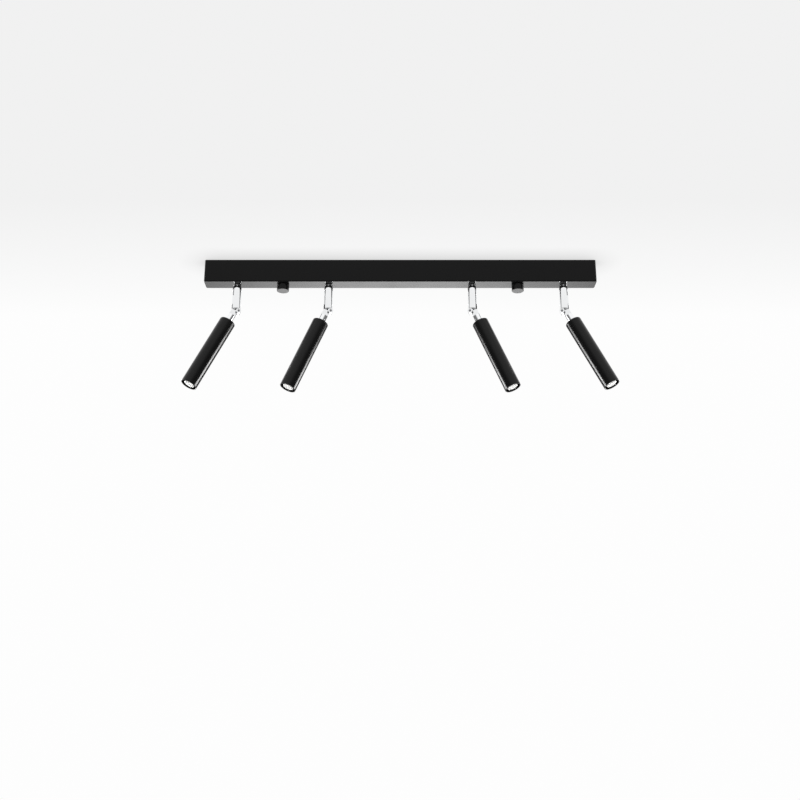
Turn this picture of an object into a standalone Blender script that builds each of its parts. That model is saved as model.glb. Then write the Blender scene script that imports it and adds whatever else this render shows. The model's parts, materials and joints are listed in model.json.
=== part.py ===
"""Ceiling light bar with four tube spots, each on a swivelling knee joint.

The bar hangs below a slotted strip that is screwed to the ceiling. Two studs come down from
the strip through the bar's floor, and a round nut on each holds the bar up. Each spot turns
about its stem and folds about the pin of its knee joint, and carries one push-in lamp.

Frame: the origin is at the middle of the face that touches the ceiling, +X along the bar,
-Y towards the front, +Z up. Every size is in metres.
"""

import math

import bmesh
import bpy
from mathutils import Matrix, Vector

# --- Clearances ---------------------------------------------------------------------------
GAP = 0.0003            # between two pieces that touch or run on each other
LOOSE = 0.0005          # between a piece and a hole that it only passes through
OVERCUT = 0.0010        # a cutting tool past the face that it opens
THREAD_EDGE = 0.0005    # chamfer at the end of a thread

# --- Bar ----------------------------------------------------------------------------------
BAR_LENGTH = 0.600
BAR_DEPTH = 0.026
BAR_HEIGHT = 0.036
BAR_WALL = 0.0010
BAR_CORNER = 0.0030     # upright corners
BAR_FOLD = 0.0015       # lower edges
END_MARGIN = 0.050      # end of the bar to the outer stem
SPOT_PITCH = 0.140      # outer stem to inner stem

# --- Ceiling strip, studs and round nuts --------------------------------------------------
STRIP_WIDTH = 0.018
STRIP_THICKNESS = 0.0015
STRIP_OVERHANG = 0.030  # past the studs
SLOT_LENGTH = 0.016
SLOT_RADIUS = 0.0026
SLOT_INSET = 0.040      # from the stud to the slot's middle
CABLE_HOLE_RADIUS = 0.006
CABLE_HOLE_X = 0.034
STUD_RADIUS = 0.0020
STUD_NUT_FLATS = 0.007
STUD_NUT_HEIGHT = 0.0032
STUD_GRIP = 0.0065      # thread inside the round nut
ROUND_NUT_RADIUS = 0.00925
ROUND_NUT_HEIGHT = 0.0104
ROUND_NUT_EDGE = 0.0006

# --- Terminal block, earth stud and leads -------------------------------------------------
TERMINAL_LENGTH = 0.017
TERMINAL_HEIGHT = 0.0125
TERMINAL_SIDE = 0.0015  # between the block and the bar's wall
TERMINAL_EDGE = 0.0008
POLE_LEVEL = 0.42       # the poles' height, as a share of the block's
POLE_PITCH = 0.0070
POLE_BORE = 0.0020
POLE_SCREW_BORE = 0.0015
POLE_SCREW_DEPTH = 0.0040
EARTH_X = -0.045
EARTH_STUD_HEIGHT = 0.0100
EARTH_FLANGE = 0.0010
EARTH_NUT_FLATS = 0.007
EARTH_NUT_HEIGHT = 0.0032
LEAD_RADIUS = 0.0013
LEAD_SIDE = 0.0008      # between a lead and the bar's wall
LEAD_GRIP = 0.0030      # inside its pole
LEAD_STRAIGHT = 0.0080  # out of its pole before it bends
LEAD_TO_LANE = 0.0240   # out of its pole, where it lies beside the bar's wall
LEAD_RISE = 0.0360      # before the stem's axis, where it starts to climb to the nipple
LEAD_END = 0.0020       # above the nipple's lower end
EARTH_LEAD_RADIUS = 0.0011

# --- Stem: nipple, nut, washer and upper half of the knee joint ---------------------------
NIPPLE_RADIUS = 0.0048
NIPPLE_BORE = 0.0032
NIPPLE_GRIP = 0.0120    # thread inside the stem
NIPPLE_END = 0.0020     # above its nut
LOCK_NUT_FLATS = 0.014
LOCK_NUT_HEIGHT = 0.0045
WASHER_RADIUS = 0.0080
WASHER_THICKNESS = 0.0008
STEM_RADIUS = 0.0070
NECK_WALL = 0.0008      # round the nipple's thread
NECK_STRAIGHT = 0.0036  # below the bar, where the neck starts to widen
STEM_SHOULDER = 0.0080  # below the bar, where it has widened to the full radius
STEM_EDGE = 0.0010      # height of the chamfer at the stem's end
STEM_EDGE_IN = 0.0006
STEM_LENGTH = 0.0420
STEM_WIRE_BORE = 0.0030
PIN_RADIUS = 0.0017
PIN_SOCKET = 0.0009
PIN_SOCKET_DEPTH = 0.0012
PIN_OFFSET = 0.0026     # stem's axis to the pin, away from the way the spot folds
PIN_DROP = 0.0030       # end of the stem down to the pin
CHEEK_RADIUS = 0.0039
FORK_WIDTH = 0.0060

# --- Arm: lower half of the knee joint ----------------------------------------------------
ARM_RADIUS = 0.0055
ARM_OFFSET = 0.0052     # pin to the arm's axis
ARM_LENGTH = 0.0225     # pin to the tube, along the arm
ARM_ROUNDING = 0.0030
ARM_WIRE_BORE = 0.0018
TONGUE_EYE = 0.0034
TAIL_RADIUS = 0.0040
TAIL_LENGTH = 0.0100

# --- Tube, lamp holder and lamp -----------------------------------------------------------
TUBE_RADIUS = 0.01225
TUBE_LENGTH = 0.1200
TUBE_WALL = 0.0010
TUBE_CAP = 0.0015
TUBE_SHOULDER = 0.0018
TUBE_NUT_FLATS = 0.98 * TUBE_RADIUS  # leaves room for the hanger's strap
TUBE_NUT_HEIGHT = 0.0045
HANGER_THICKNESS = 0.0010
HANGER_WIDTH = 0.0070
HANGER_LENGTH = 0.0400
HANGER_FOOT = 0.0028    # width of its foot round the tail
HOLDER_RADIUS = 0.0088
HOLDER_HEIGHT = 0.0210
HOLDER_RECESS = 0.0060
HOLDER_EDGE = 0.0008
LAMP_RADIUS = 0.0080
LAMP_NECK = 0.0060
LAMP_SETBACK = 0.0010   # lamp's front inside the tube's mouth
LAMP_FRONT_EDGE = 0.0012
CONTACT_PITCH = 0.0045  # lamp's axis to each contact pin
CONTACT_RADIUS = 0.0009
CONTACT_LENGTH = 0.0065

# --- Rest pose of the spots, degrees ------------------------------------------------------
OUTER_FOLD = 25.9
INNER_FOLD = 23.2
OUTER_TURN = 19.9       # turned from straight sideways towards the front
INNER_TURN = 17.3

ROUND_STEPS = 24
SMALL_STEPS = 16

# --- Places that follow from the sizes ----------------------------------------------------
OUTER_X = BAR_LENGTH / 2 - END_MARGIN
INNER_X = OUTER_X - SPOT_PITCH
STUD_X = (OUTER_X + INNER_X) / 2
INNER_HALF_DEPTH = BAR_DEPTH / 2 - BAR_WALL
FLOOR_Z = -BAR_HEIGHT + BAR_WALL
STEM_NECK = NIPPLE_RADIUS + GAP + NECK_WALL
PIN_Z = -STEM_LENGTH - PIN_DROP
TUBE_TOP = ARM_LENGTH
TUBE_MOUTH = TUBE_TOP + TUBE_LENGTH
TUBE_BORE = TUBE_RADIUS - TUBE_WALL
HANGER_TOP = TUBE_TOP + TUBE_CAP + GAP
HOLDER_TOP = HANGER_TOP + HANGER_LENGTH + GAP
HOLDER_END = HOLDER_TOP + HOLDER_HEIGHT


# --- Scene, materials and parents ---------------------------------------------------------
for old in list(bpy.data.objects):
    bpy.data.objects.remove(old, do_unlink=True)

PARTS = bpy.data.collections.new("ceiling_light_bar")
CUTTERS = bpy.data.collections.new("cutters")
for collection in (PARTS, CUTTERS):
    bpy.context.scene.collection.children.link(collection)


def material(name, colour, roughness, metallic):
    made = bpy.data.materials.new(name)
    made.use_nodes = True
    shader = made.node_tree.nodes["Principled BSDF"]
    shader.inputs["Base Color"].default_value = (*colour, 1.0)
    shader.inputs["Roughness"].default_value = roughness
    shader.inputs["Metallic"].default_value = metallic
    made.diffuse_color = (*colour, 1.0)
    return made


BLACK_PAINT = material("black_paint", (0.013, 0.013, 0.014), 0.42, 0.0)
CHROME = material("chrome", (0.86, 0.87, 0.88), 0.06, 1.0)
ZINC = material("zinc_plate", (0.62, 0.63, 0.64), 0.34, 1.0)
BRASS = material("brass", (0.72, 0.55, 0.27), 0.30, 1.0)
NYLON = material("white_nylon", (0.78, 0.77, 0.73), 0.45, 0.0)
SLEEVE = material("lead_sleeve", (0.62, 0.60, 0.56), 0.55, 0.0)
EARTH_SLEEVE = material("earth_sleeve", (0.30, 0.42, 0.06), 0.50, 0.0)
CERAMIC = material("holder_ceramic", (0.74, 0.71, 0.65), 0.60, 0.0)
LAMP_WHITE = material("lamp_white", (0.90, 0.90, 0.88), 0.30, 0.0)


def place(obj, finish, parent=None):
    """Put a finished part in the parts collection, on its parent, with its material."""
    for used in list(obj.users_collection):
        used.objects.unlink(obj)
    PARTS.objects.link(obj)
    obj.parent = parent
    obj.data.materials.append(finish)


def empty(name, location, rotation, parent=None):
    made = bpy.data.objects.new(name, None)
    made.empty_display_size = 0.01
    made.location = location
    made.rotation_euler = rotation
    made.parent = parent
    PARTS.objects.link(made)
    return made


# --- Shapes -------------------------------------------------------------------------------
def shade(mesh):
    mesh.shade_smooth()
    mesh.set_sharp_from_angle(angle=math.radians(35))


def turned_mesh(name, profile, closed, steps, centre_x=0.0):
    """Object turned about a vertical axis from (radius, height) points, outer side downwards."""
    mesh = bpy.data.meshes.new(name)
    edges = [(i, i + 1) for i in range(len(profile) - 1)]
    if closed:
        edges.append((len(profile) - 1, 0))
    mesh.from_pydata([(radius, 0.0, height) for radius, height in profile], edges, [])
    obj = bpy.data.objects.new(name, mesh)
    obj.location.x = centre_x
    screw = obj.modifiers.new("turn", "SCREW")
    screw.axis = "Z"
    screw.angle = math.tau
    screw.steps = steps
    screw.render_steps = steps
    screw.use_merge_vertices = True
    screw.merge_threshold = 0.00001
    screw.use_smooth_shade = True
    return obj


def arc(centre_r, centre_z, radius, start, end, count):
    """Points along an arc of a profile; angles in degrees from +radius towards +height."""
    points = []
    for i in range(count + 1):
        angle = math.radians(start + (end - start) * i / count)
        point = (centre_r + radius * math.cos(angle), centre_z + radius * math.sin(angle))
        points.append(point)
    return points


def mesh_object(name, build):
    mesh = bpy.data.meshes.new(name)
    bm = bmesh.new()
    build(bm)
    bm.to_mesh(mesh)
    bm.free()
    return bpy.data.objects.new(name, mesh)


def cylinder(name, radius, start, end, steps=SMALL_STEPS):
    """Closed round bar between two points."""
    start = Vector(start)
    end = Vector(end)
    turn = (end - start).to_track_quat("Z", "Y").to_matrix().to_4x4()
    matrix = Matrix.Translation((start + end) / 2) @ turn

    def build(bm):
        bmesh.ops.create_cone(
            bm, cap_ends=True, segments=steps, radius1=radius, radius2=radius,
            depth=(end - start).length, matrix=matrix)

    return mesh_object(name, build)


def box(name, low, high, rounding=0.0):
    low = Vector(low)
    high = Vector(high)
    size = Matrix.Diagonal((*(high - low), 1.0))

    def build(bm):
        bmesh.ops.create_cube(bm, size=1.0, matrix=Matrix.Translation((low + high) / 2) @ size)
        if rounding:
            bmesh.ops.bevel(
                bm, geom=bm.edges[:], offset=rounding, segments=1, profile=0.5,
                affect="EDGES")

    return mesh_object(name, build)


def combine(target, tool, operation, parent):
    """Cut a tool out of a part, or join it on. The tool stays as a hidden guide."""
    CUTTERS.objects.link(tool)
    tool.parent = parent
    tool.hide_render = True
    tool.display_type = "WIRE"
    step = target.modifiers.new(tool.name, "BOOLEAN")
    step.operation = operation
    step.object = tool
    step.solver = "EXACT"


def outline_circle(x, y, radius, steps=SMALL_STEPS):
    turns = [math.tau * i / steps for i in range(steps)]
    return [(x + radius * math.cos(t), y + radius * math.sin(t)) for t in turns]


def outline_slot(x, y, length, radius, steps=6):
    """Round-ended slot along X."""
    half = length / 2 - radius
    points = []
    for side, start in ((1, -90), (-1, 90)):
        for i in range(steps + 1):
            angle = math.radians(start + 180 * i / steps)
            points.append((
                x + side * half + radius * math.cos(angle), y + radius * math.sin(angle)))
    return points


def outline_hexagon(flats):
    corner = flats / math.sqrt(3)
    return [(corner * math.cos(math.radians(60 * i)), corner * math.sin(math.radians(60 * i)))
            for i in range(6)]


def plate(name, outlines, top, thickness, x=0.0):
    """Flat piece from an outline and the outlines of its holes, level with the floor."""
    curve = bpy.data.curves.new(name, "CURVE")
    curve.dimensions = "2D"
    curve.fill_mode = "BOTH"
    curve.extrude = thickness / 2
    for outline in outlines:
        spline = curve.splines.new("POLY")
        spline.points.add(len(outline) - 1)
        for point, (px, py) in zip(spline.points, outline):
            point.co = (px, py, 0.0, 1.0)
        spline.use_cyclic_u = True
    obj = bpy.data.objects.new(name, curve)
    obj.location = (x, 0.0, top - thickness / 2)
    return obj


def smooth_route(points, spacing):
    """Points read at an even spacing from a smooth curve through the route's own points."""
    knots = [Vector(p) for p in points]
    knots = [2 * knots[0] - knots[1]] + knots + [2 * knots[-1] - knots[-2]]
    route = []
    for before, here, there, after in zip(knots, knots[1:], knots[2:], knots[3:]):
        count = max(2, round((there - here).length / spacing))
        for i in range(count):
            t = i / count
            route.append(0.5 * (
                2 * here + (there - before) * t
                + (2 * before - 5 * here + 4 * there - after) * t ** 2
                + (3 * here - before - 3 * there + after) * t ** 3))
    route.append(knots[-2])
    return route


def wire(name, points, radius, spacing=0.009):
    curve = bpy.data.curves.new(name, "CURVE")
    curve.dimensions = "3D"
    curve.bevel_depth = radius
    curve.bevel_resolution = 2
    curve.use_fill_caps = True
    route = smooth_route(points, spacing)
    spline = curve.splines.new("POLY")
    spline.points.add(len(route) - 1)
    for point, place_on_route in zip(spline.points, route):
        point.co = (*place_on_route, 1.0)
    return bpy.data.objects.new(name, curve)


# --- Bar ----------------------------------------------------------------------------------
def make_bar():
    """Folded sheet-steel channel, open at the top, with holes in its floor."""
    def build(bm):
        size = Matrix.Diagonal((BAR_LENGTH, BAR_DEPTH, BAR_HEIGHT, 1.0))
        middle = Matrix.Translation((0.0, 0.0, -BAR_HEIGHT / 2))
        bmesh.ops.create_cube(bm, size=1.0, matrix=middle @ size)
        upright = [e for e in bm.edges if abs(e.verts[0].co.z - e.verts[1].co.z) > BAR_WALL]
        bmesh.ops.bevel(
            bm, geom=upright, offset=BAR_CORNER, segments=4, profile=0.5, affect="EDGES")
        lower = [e for e in bm.edges
                 if all(v.co.z < -BAR_HEIGHT + BAR_WALL / 2 for v in e.verts)]
        bmesh.ops.bevel(
            bm, geom=lower, offset=BAR_FOLD, segments=2, profile=0.5, affect="EDGES")
        top = [f for f in bm.faces if f.normal.z > 0.9]
        bmesh.ops.delete(bm, geom=top, context="FACES_ONLY")

    bar = mesh_object("canopy_bar", build)
    shell = bar.modifiers.new("sheet", "SOLIDIFY")
    shell.thickness = BAR_WALL
    shell.offset = -1.0
    shell.use_even_offset = True
    hole_low = -BAR_HEIGHT - BAR_WALL
    hole_high = FLOOR_Z + BAR_WALL
    for number, (x, _, _) in enumerate(SPOTS, 1):
        hole = cylinder(
            f"cut_stem_hole_{number}", NIPPLE_RADIUS + LOOSE, (x, 0, hole_low), (x, 0, hole_high))
        combine(bar, hole, "DIFFERENCE", None)
    for side, x in STUDS:
        hole = cylinder(
            f"cut_stud_hole_{side}", STUD_RADIUS + LOOSE, (x, 0, hole_low), (x, 0, hole_high))
        combine(bar, hole, "DIFFERENCE", None)
    place(bar, BLACK_PAINT)


# --- Ceiling strip, studs and round nuts --------------------------------------------------
def make_strip():
    half = STUD_X + STRIP_OVERHANG
    outline = [(-half, -STRIP_WIDTH / 2), (half, -STRIP_WIDTH / 2),
               (half, STRIP_WIDTH / 2), (-half, STRIP_WIDTH / 2)]
    holes = [outline_circle(x, 0.0, STUD_RADIUS + GAP) for _, x in STUDS]
    for _, x in STUDS:
        inward = -math.copysign(SLOT_INSET, x)
        holes.append(outline_slot(x + inward, 0.0, SLOT_LENGTH, SLOT_RADIUS))
    holes.append(outline_circle(CABLE_HOLE_X, 0.0, CABLE_HOLE_RADIUS))
    place(plate("ceiling_strip", [outline] + holes, 0.0, STRIP_THICKNESS), ZINC)


def make_stud(side, x):
    """Threaded stud locked in the strip; its end stands in the round nut below the bar."""
    end = -BAR_HEIGHT - STUD_GRIP
    profile = [(0.0, -GAP), (STUD_RADIUS, -GAP), (STUD_RADIUS, end + THREAD_EDGE),
               (STUD_RADIUS - THREAD_EDGE, end), (0.0, end)]
    place(turned_mesh(f"stud_{side}", profile, False, SMALL_STEPS, x), ZINC)
    nut = plate(
        f"stud_nut_{side}",
        [outline_hexagon(STUD_NUT_FLATS), outline_circle(0.0, 0.0, STUD_RADIUS + GAP)],
        -STRIP_THICKNESS - GAP, STUD_NUT_HEIGHT, x)
    place(nut, ZINC)


def make_round_nut(side, x):
    """Round cap nut that is turned by hand against the bar's floor."""
    top = -BAR_HEIGHT - GAP
    end = -BAR_HEIGHT - ROUND_NUT_HEIGHT
    bore = STUD_RADIUS + GAP
    bore_end = -BAR_HEIGHT - STUD_GRIP - LOOSE
    edge = ROUND_NUT_EDGE
    profile = [(bore, top), (ROUND_NUT_RADIUS - edge, top), (ROUND_NUT_RADIUS, top - edge)]
    profile += [(ROUND_NUT_RADIUS, end + edge), (ROUND_NUT_RADIUS - edge, end), (0.0, end)]
    profile = [(0.0, bore_end), (bore, bore_end)] + profile
    axis = empty(f"axis_round_nut_{side}", (x, 0, 0), (0, 0, 0))
    place(turned_mesh(f"round_nut_{side}", profile, False, ROUND_STEPS), BLACK_PAINT, axis)


# --- Terminal block, earth stud and leads -------------------------------------------------
TERMINAL_HALF_DEPTH = INNER_HALF_DEPTH - TERMINAL_SIDE
TERMINAL_LOW = FLOOR_Z + GAP
POLE_Z = TERMINAL_LOW + TERMINAL_HEIGHT * POLE_LEVEL


def make_terminal_block():
    half = TERMINAL_LENGTH / 2
    top = TERMINAL_LOW + TERMINAL_HEIGHT
    block = box(
        "terminal_block", (-half, -TERMINAL_HALF_DEPTH, TERMINAL_LOW),
        (half, TERMINAL_HALF_DEPTH, top), rounding=TERMINAL_EDGE)
    for pole in (-1, 0, 1):
        y = pole * POLE_PITCH
        bore = cylinder(
            f"cut_pole_{pole + 2}", POLE_BORE, (-half - OVERCUT, y, POLE_Z),
            (half + OVERCUT, y, POLE_Z), 12)
        combine(block, bore, "DIFFERENCE", None)
        for end in (-1, 1):
            x = end * half / 2
            well = cylinder(
                f"cut_pole_screw_{pole + 2}_{end + 2}", POLE_SCREW_BORE,
                (x, y, top - POLE_SCREW_DEPTH), (x, y, top + OVERCUT), 8)
            combine(block, well, "DIFFERENCE", None)
    place(block, NYLON)


def make_earth_stud():
    """Stud on the bar's floor with the nut that clamps the earth lead."""
    low = FLOOR_Z + GAP
    flange = low + EARTH_FLANGE
    top = low + EARTH_STUD_HEIGHT
    profile = [(0.0, top), (STUD_RADIUS, top), (STUD_RADIUS, flange),
               (STUD_RADIUS * 2, flange), (STUD_RADIUS * 2, low), (0.0, low)]
    place(turned_mesh("earth_stud", profile, False, SMALL_STEPS, EARTH_X), BRASS)
    nut = plate(
        "earth_nut",
        [outline_hexagon(EARTH_NUT_FLATS), outline_circle(0.0, 0.0, STUD_RADIUS + GAP)],
        flange + GAP + EARTH_NUT_HEIGHT, EARTH_NUT_HEIGHT, EARTH_X)
    place(nut, BRASS)


NIPPLE_TOP = FLOOR_Z + GAP + WASHER_THICKNESS + GAP + LOCK_NUT_HEIGHT + NIPPLE_END


def make_lead(number, x, lane_side):
    """Sleeved lead from the terminal block along the bar's wall and down into the nipple."""
    way = math.copysign(1.0, x)
    start = way * TERMINAL_LENGTH / 2
    pole_y = lane_side * POLE_PITCH
    lane_y = lane_side * (INNER_HALF_DEPTH - LEAD_SIDE - LEAD_RADIUS)
    lane_z = FLOOR_Z + LEAD_SIDE + LEAD_RADIUS
    climb = LEAD_RISE / 12
    route = [
        (start - way * LEAD_GRIP, pole_y, POLE_Z), (start + way * LEAD_STRAIGHT, pole_y, POLE_Z),
        (start + way * LEAD_TO_LANE, lane_y, lane_z), (x - way * LEAD_RISE, lane_y, lane_z),
        (x - way * climb * 7.4, lane_y, lane_z + climb),
        (x - way * climb * 4.4, lane_y * 0.63, NIPPLE_TOP + climb * 1.4),
        (x - way * climb * 1.2, lane_y * 0.15, NIPPLE_TOP + climb * 2.8),
        (x, 0.0, NIPPLE_TOP + climb), (x, 0.0, NIPPLE_TOP - climb * 2),
        (x, 0.0, -BAR_HEIGHT - NIPPLE_GRIP + LEAD_END)]
    place(wire(f"lead_{number}", route, LEAD_RADIUS), SLEEVE)


def make_earth_lead():
    start = -TERMINAL_LENGTH / 2
    beside_stud = EARTH_X + EARTH_NUT_FLATS * 0.5 + EARTH_LEAD_RADIUS + 2 * GAP
    clamp_z = FLOOR_Z + EARTH_FLANGE + EARTH_NUT_HEIGHT
    step = LEAD_STRAIGHT / 8
    route = [
        (start + LEAD_GRIP, 0.0, POLE_Z), (start - LEAD_STRAIGHT, 0.0, POLE_Z),
        (start - LEAD_STRAIGHT - 10 * step, 0.0, POLE_Z + 3 * step),
        (beside_stud + 4 * step, 0.0, clamp_z + step), (beside_stud + step, 0.0, clamp_z)]
    place(wire("earth_lead", route, EARTH_LEAD_RADIUS, 0.006), EARTH_SLEEVE)


# --- Stem: everything that turns with the spot --------------------------------------------
def make_washer(number, x):
    ring = plate(
        f"friction_washer_{number}",
        [outline_circle(0, 0, WASHER_RADIUS), outline_circle(0, 0, NIPPLE_RADIUS + GAP)],
        FLOOR_Z + GAP + WASHER_THICKNESS, WASHER_THICKNESS, x)
    place(ring, ZINC)


def make_nipple(number, turn_axis):
    top = NIPPLE_TOP + BAR_HEIGHT
    end = -NIPPLE_GRIP
    edge = THREAD_EDGE
    profile = [(NIPPLE_BORE, top), (NIPPLE_RADIUS - edge, top), (NIPPLE_RADIUS, top - edge),
               (NIPPLE_RADIUS, end + edge), (NIPPLE_RADIUS - edge, end), (NIPPLE_BORE, end)]
    obj = turned_mesh(f"nipple_{number}", profile, True, SMALL_STEPS)
    place(obj, ZINC, turn_axis)
    nut = plate(
        f"lock_nut_{number}",
        [outline_hexagon(LOCK_NUT_FLATS), outline_circle(0, 0, NIPPLE_RADIUS + GAP)],
        top - NIPPLE_END, LOCK_NUT_HEIGHT)
    place(nut, ZINC, turn_axis)


def make_stem(number, turn_axis):
    """Upper half of the knee joint: a turned stem whose forked end carries the pin."""
    bore = NIPPLE_RADIUS + GAP
    bore_end = -NIPPLE_GRIP - LOOSE
    profile = [
        (bore, -GAP), (STEM_NECK, -GAP), (STEM_NECK, -NECK_STRAIGHT),
        (STEM_RADIUS, -STEM_SHOULDER), (STEM_RADIUS, -STEM_LENGTH + STEM_EDGE),
        (STEM_RADIUS - STEM_EDGE_IN, -STEM_LENGTH), (STEM_WIRE_BORE, -STEM_LENGTH),
        (STEM_WIRE_BORE, bore_end), (bore, bore_end)]
    stem = turned_mesh(f"stem_{number}", profile, True, ROUND_STEPS)
    cheek = math.sqrt(STEM_RADIUS ** 2 - PIN_OFFSET ** 2) - GAP
    lobe = cylinder(
        f"add_cheek_{number}", CHEEK_RADIUS, (-PIN_OFFSET, -cheek, PIN_Z),
        (-PIN_OFFSET, cheek, PIN_Z), 20)
    combine(stem, lobe, "UNION", turn_axis)
    reach = 3 * STEM_RADIUS
    fork_top = PIN_Z + ARM_OFFSET + ARM_RADIUS + LOOSE
    fork = box(
        f"cut_fork_{number}", (-reach, -FORK_WIDTH / 2, PIN_Z - 2 * CHEEK_RADIUS),
        (reach, FORK_WIDTH / 2, fork_top))
    combine(stem, fork, "DIFFERENCE", turn_axis)
    hole = cylinder(
        f"cut_pin_hole_{number}", PIN_RADIUS + GAP, (-PIN_OFFSET, -reach, PIN_Z),
        (-PIN_OFFSET, reach, PIN_Z), 12)
    combine(stem, hole, "DIFFERENCE", turn_axis)
    place(stem, CHROME, turn_axis)


def make_pin(number, turn_axis):
    """Pivot screw, flush with the cheeks, with a socket in each end."""
    half = math.sqrt(STEM_RADIUS ** 2 - PIN_OFFSET ** 2) - 2 * GAP
    depth = PIN_SOCKET_DEPTH
    profile = [(0.0, half - depth), (PIN_SOCKET, half - depth), (PIN_SOCKET, half),
               (PIN_RADIUS, half), (PIN_RADIUS, -half), (PIN_SOCKET, -half),
               (PIN_SOCKET, -half + depth), (0.0, -half + depth)]
    pin = turned_mesh(f"pivot_screw_{number}", profile, False, 12)
    pin.location = (-PIN_OFFSET, 0.0, PIN_Z)
    pin.rotation_euler = (math.radians(90), 0.0, 0.0)
    place(pin, ZINC, turn_axis)


# --- Arm: lower half of the knee joint ----------------------------------------------------
def make_arm(number, fold_axis):
    """Turned arm with a flat tongue round the pin, and a threaded tail inside the tube."""
    tail_end = -TUBE_TOP - TAIL_LENGTH
    profile = [(ARM_WIRE_BORE, 0.0)]
    profile += arc(ARM_RADIUS - ARM_ROUNDING, -ARM_ROUNDING, ARM_ROUNDING, 90, 0, 4)
    profile += [
        (ARM_RADIUS, -TUBE_TOP + GAP), (TAIL_RADIUS, -TUBE_TOP + GAP),
        (TAIL_RADIUS, tail_end + THREAD_EDGE), (TAIL_RADIUS - THREAD_EDGE, tail_end),
        (ARM_WIRE_BORE, tail_end)]
    arm = turned_mesh(f"arm_{number}", profile, True, ROUND_STEPS, ARM_OFFSET)
    tongue = FORK_WIDTH / 2 - GAP
    flats_end = -(PIN_OFFSET + STEM_RADIUS + 2 * GAP)
    reach = 3 * ARM_RADIUS
    for side in (-1, 1):
        inner = side * tongue
        outer = side * reach
        flat = box(
            f"cut_tongue_{number}_{side + 2}", (-reach, min(inner, outer), flats_end),
            (reach, max(inner, outer), OVERCUT))
        combine(arm, flat, "DIFFERENCE", fold_axis)
    eye = cylinder(
        f"add_eye_{number}", TONGUE_EYE, (0.0, -tongue, 0.0), (0.0, tongue, 0.0), 20)
    combine(arm, eye, "UNION", fold_axis)
    hole = cylinder(
        f"cut_eye_{number}", PIN_RADIUS + GAP, (0.0, -reach, 0.0), (0.0, reach, 0.0), 12)
    combine(arm, hole, "DIFFERENCE", fold_axis)
    place(arm, CHROME, fold_axis)


# --- Tube, lamp holder and lamp -----------------------------------------------------------
def make_tube(number, fold_axis):
    top = -TUBE_TOP
    hole = TAIL_RADIUS + GAP
    inside = top - TUBE_CAP
    profile = [(hole, top)]
    profile += arc(
        TUBE_RADIUS - TUBE_SHOULDER, top - TUBE_SHOULDER, TUBE_SHOULDER, 90, 0, 3)
    profile += [(TUBE_RADIUS, -TUBE_MOUTH), (TUBE_BORE, -TUBE_MOUTH), (TUBE_BORE, inside),
                (hole, inside)]
    place(turned_mesh(f"tube_{number}", profile, True, ROUND_STEPS, ARM_OFFSET), BLACK_PAINT,
          fold_axis)
    nut = plate(
        f"tube_nut_{number}",
        [outline_hexagon(TUBE_NUT_FLATS), outline_circle(0, 0, hole)],
        -HANGER_TOP - HANGER_THICKNESS - GAP, TUBE_NUT_HEIGHT, ARM_OFFSET)
    place(nut, ZINC, fold_axis)


def make_hanger(number, fold_axis):
    """Bent steel strap: its foot is clamped by the tube's nut, its tab holds the lamp holder."""
    wall_x = math.sqrt((TUBE_BORE - LOOSE) ** 2 - (HANGER_WIDTH / 2) ** 2)
    low_z = -HANGER_TOP - HANGER_LENGTH
    half = HANGER_WIDTH / 2
    foot = cylinder(
        f"hanger_{number}", TAIL_RADIUS + HANGER_FOOT,
        (ARM_OFFSET, 0.0, -HANGER_TOP - HANGER_THICKNESS), (ARM_OFFSET, 0.0, -HANGER_TOP))
    arm_low = ARM_OFFSET + TAIL_RADIUS + HANGER_FOOT / 2
    bridge = box(
        f"add_bridge_{number}", (arm_low, -half, -HANGER_TOP - HANGER_THICKNESS),
        (ARM_OFFSET + wall_x, half, -HANGER_TOP))
    strap = box(
        f"add_strap_{number}",
        (ARM_OFFSET + wall_x - HANGER_THICKNESS, -half, low_z),
        (ARM_OFFSET + wall_x, half, -HANGER_TOP))
    tab = box(
        f"add_tab_{number}", (ARM_OFFSET - half, -half, low_z),
        (ARM_OFFSET + wall_x, half, low_z + HANGER_THICKNESS))
    combine(foot, bridge, "UNION", fold_axis)
    combine(foot, strap, "UNION", fold_axis)
    combine(foot, tab, "UNION", fold_axis)
    hole = cylinder(
        f"cut_hanger_{number}", TAIL_RADIUS + GAP,
        (ARM_OFFSET, 0.0, -HANGER_TOP - 2 * HANGER_THICKNESS),
        (ARM_OFFSET, 0.0, -HANGER_TOP + HANGER_THICKNESS))
    combine(foot, hole, "DIFFERENCE", fold_axis)
    place(foot, ZINC, fold_axis)


def make_holder(number, fold_axis):
    """Ceramic lamp holder with a round recess and two contact holes."""
    top = -HOLDER_TOP
    end = -HOLDER_END
    recess = LAMP_NECK + GAP
    edge = HOLDER_EDGE
    profile = [(0.0, top), (HOLDER_RADIUS - edge, top), (HOLDER_RADIUS, top - edge),
               (HOLDER_RADIUS, end), (recess, end), (recess, end + HOLDER_RECESS),
               (0.0, end + HOLDER_RECESS)]
    holder = turned_mesh(f"lamp_holder_{number}", profile, False, ROUND_STEPS, ARM_OFFSET)
    for side in (-1, 1):
        y = side * CONTACT_PITCH
        hole = cylinder(
            f"cut_contact_{number}_{side + 2}", CONTACT_RADIUS + GAP,
            (ARM_OFFSET, y, end + HOLDER_RECESS - OVERCUT),
            (ARM_OFFSET, y, end + HOLDER_RECESS + CONTACT_LENGTH + LOOSE), 8)
        combine(holder, hole, "DIFFERENCE", fold_axis)
    place(holder, CERAMIC, fold_axis)


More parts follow.
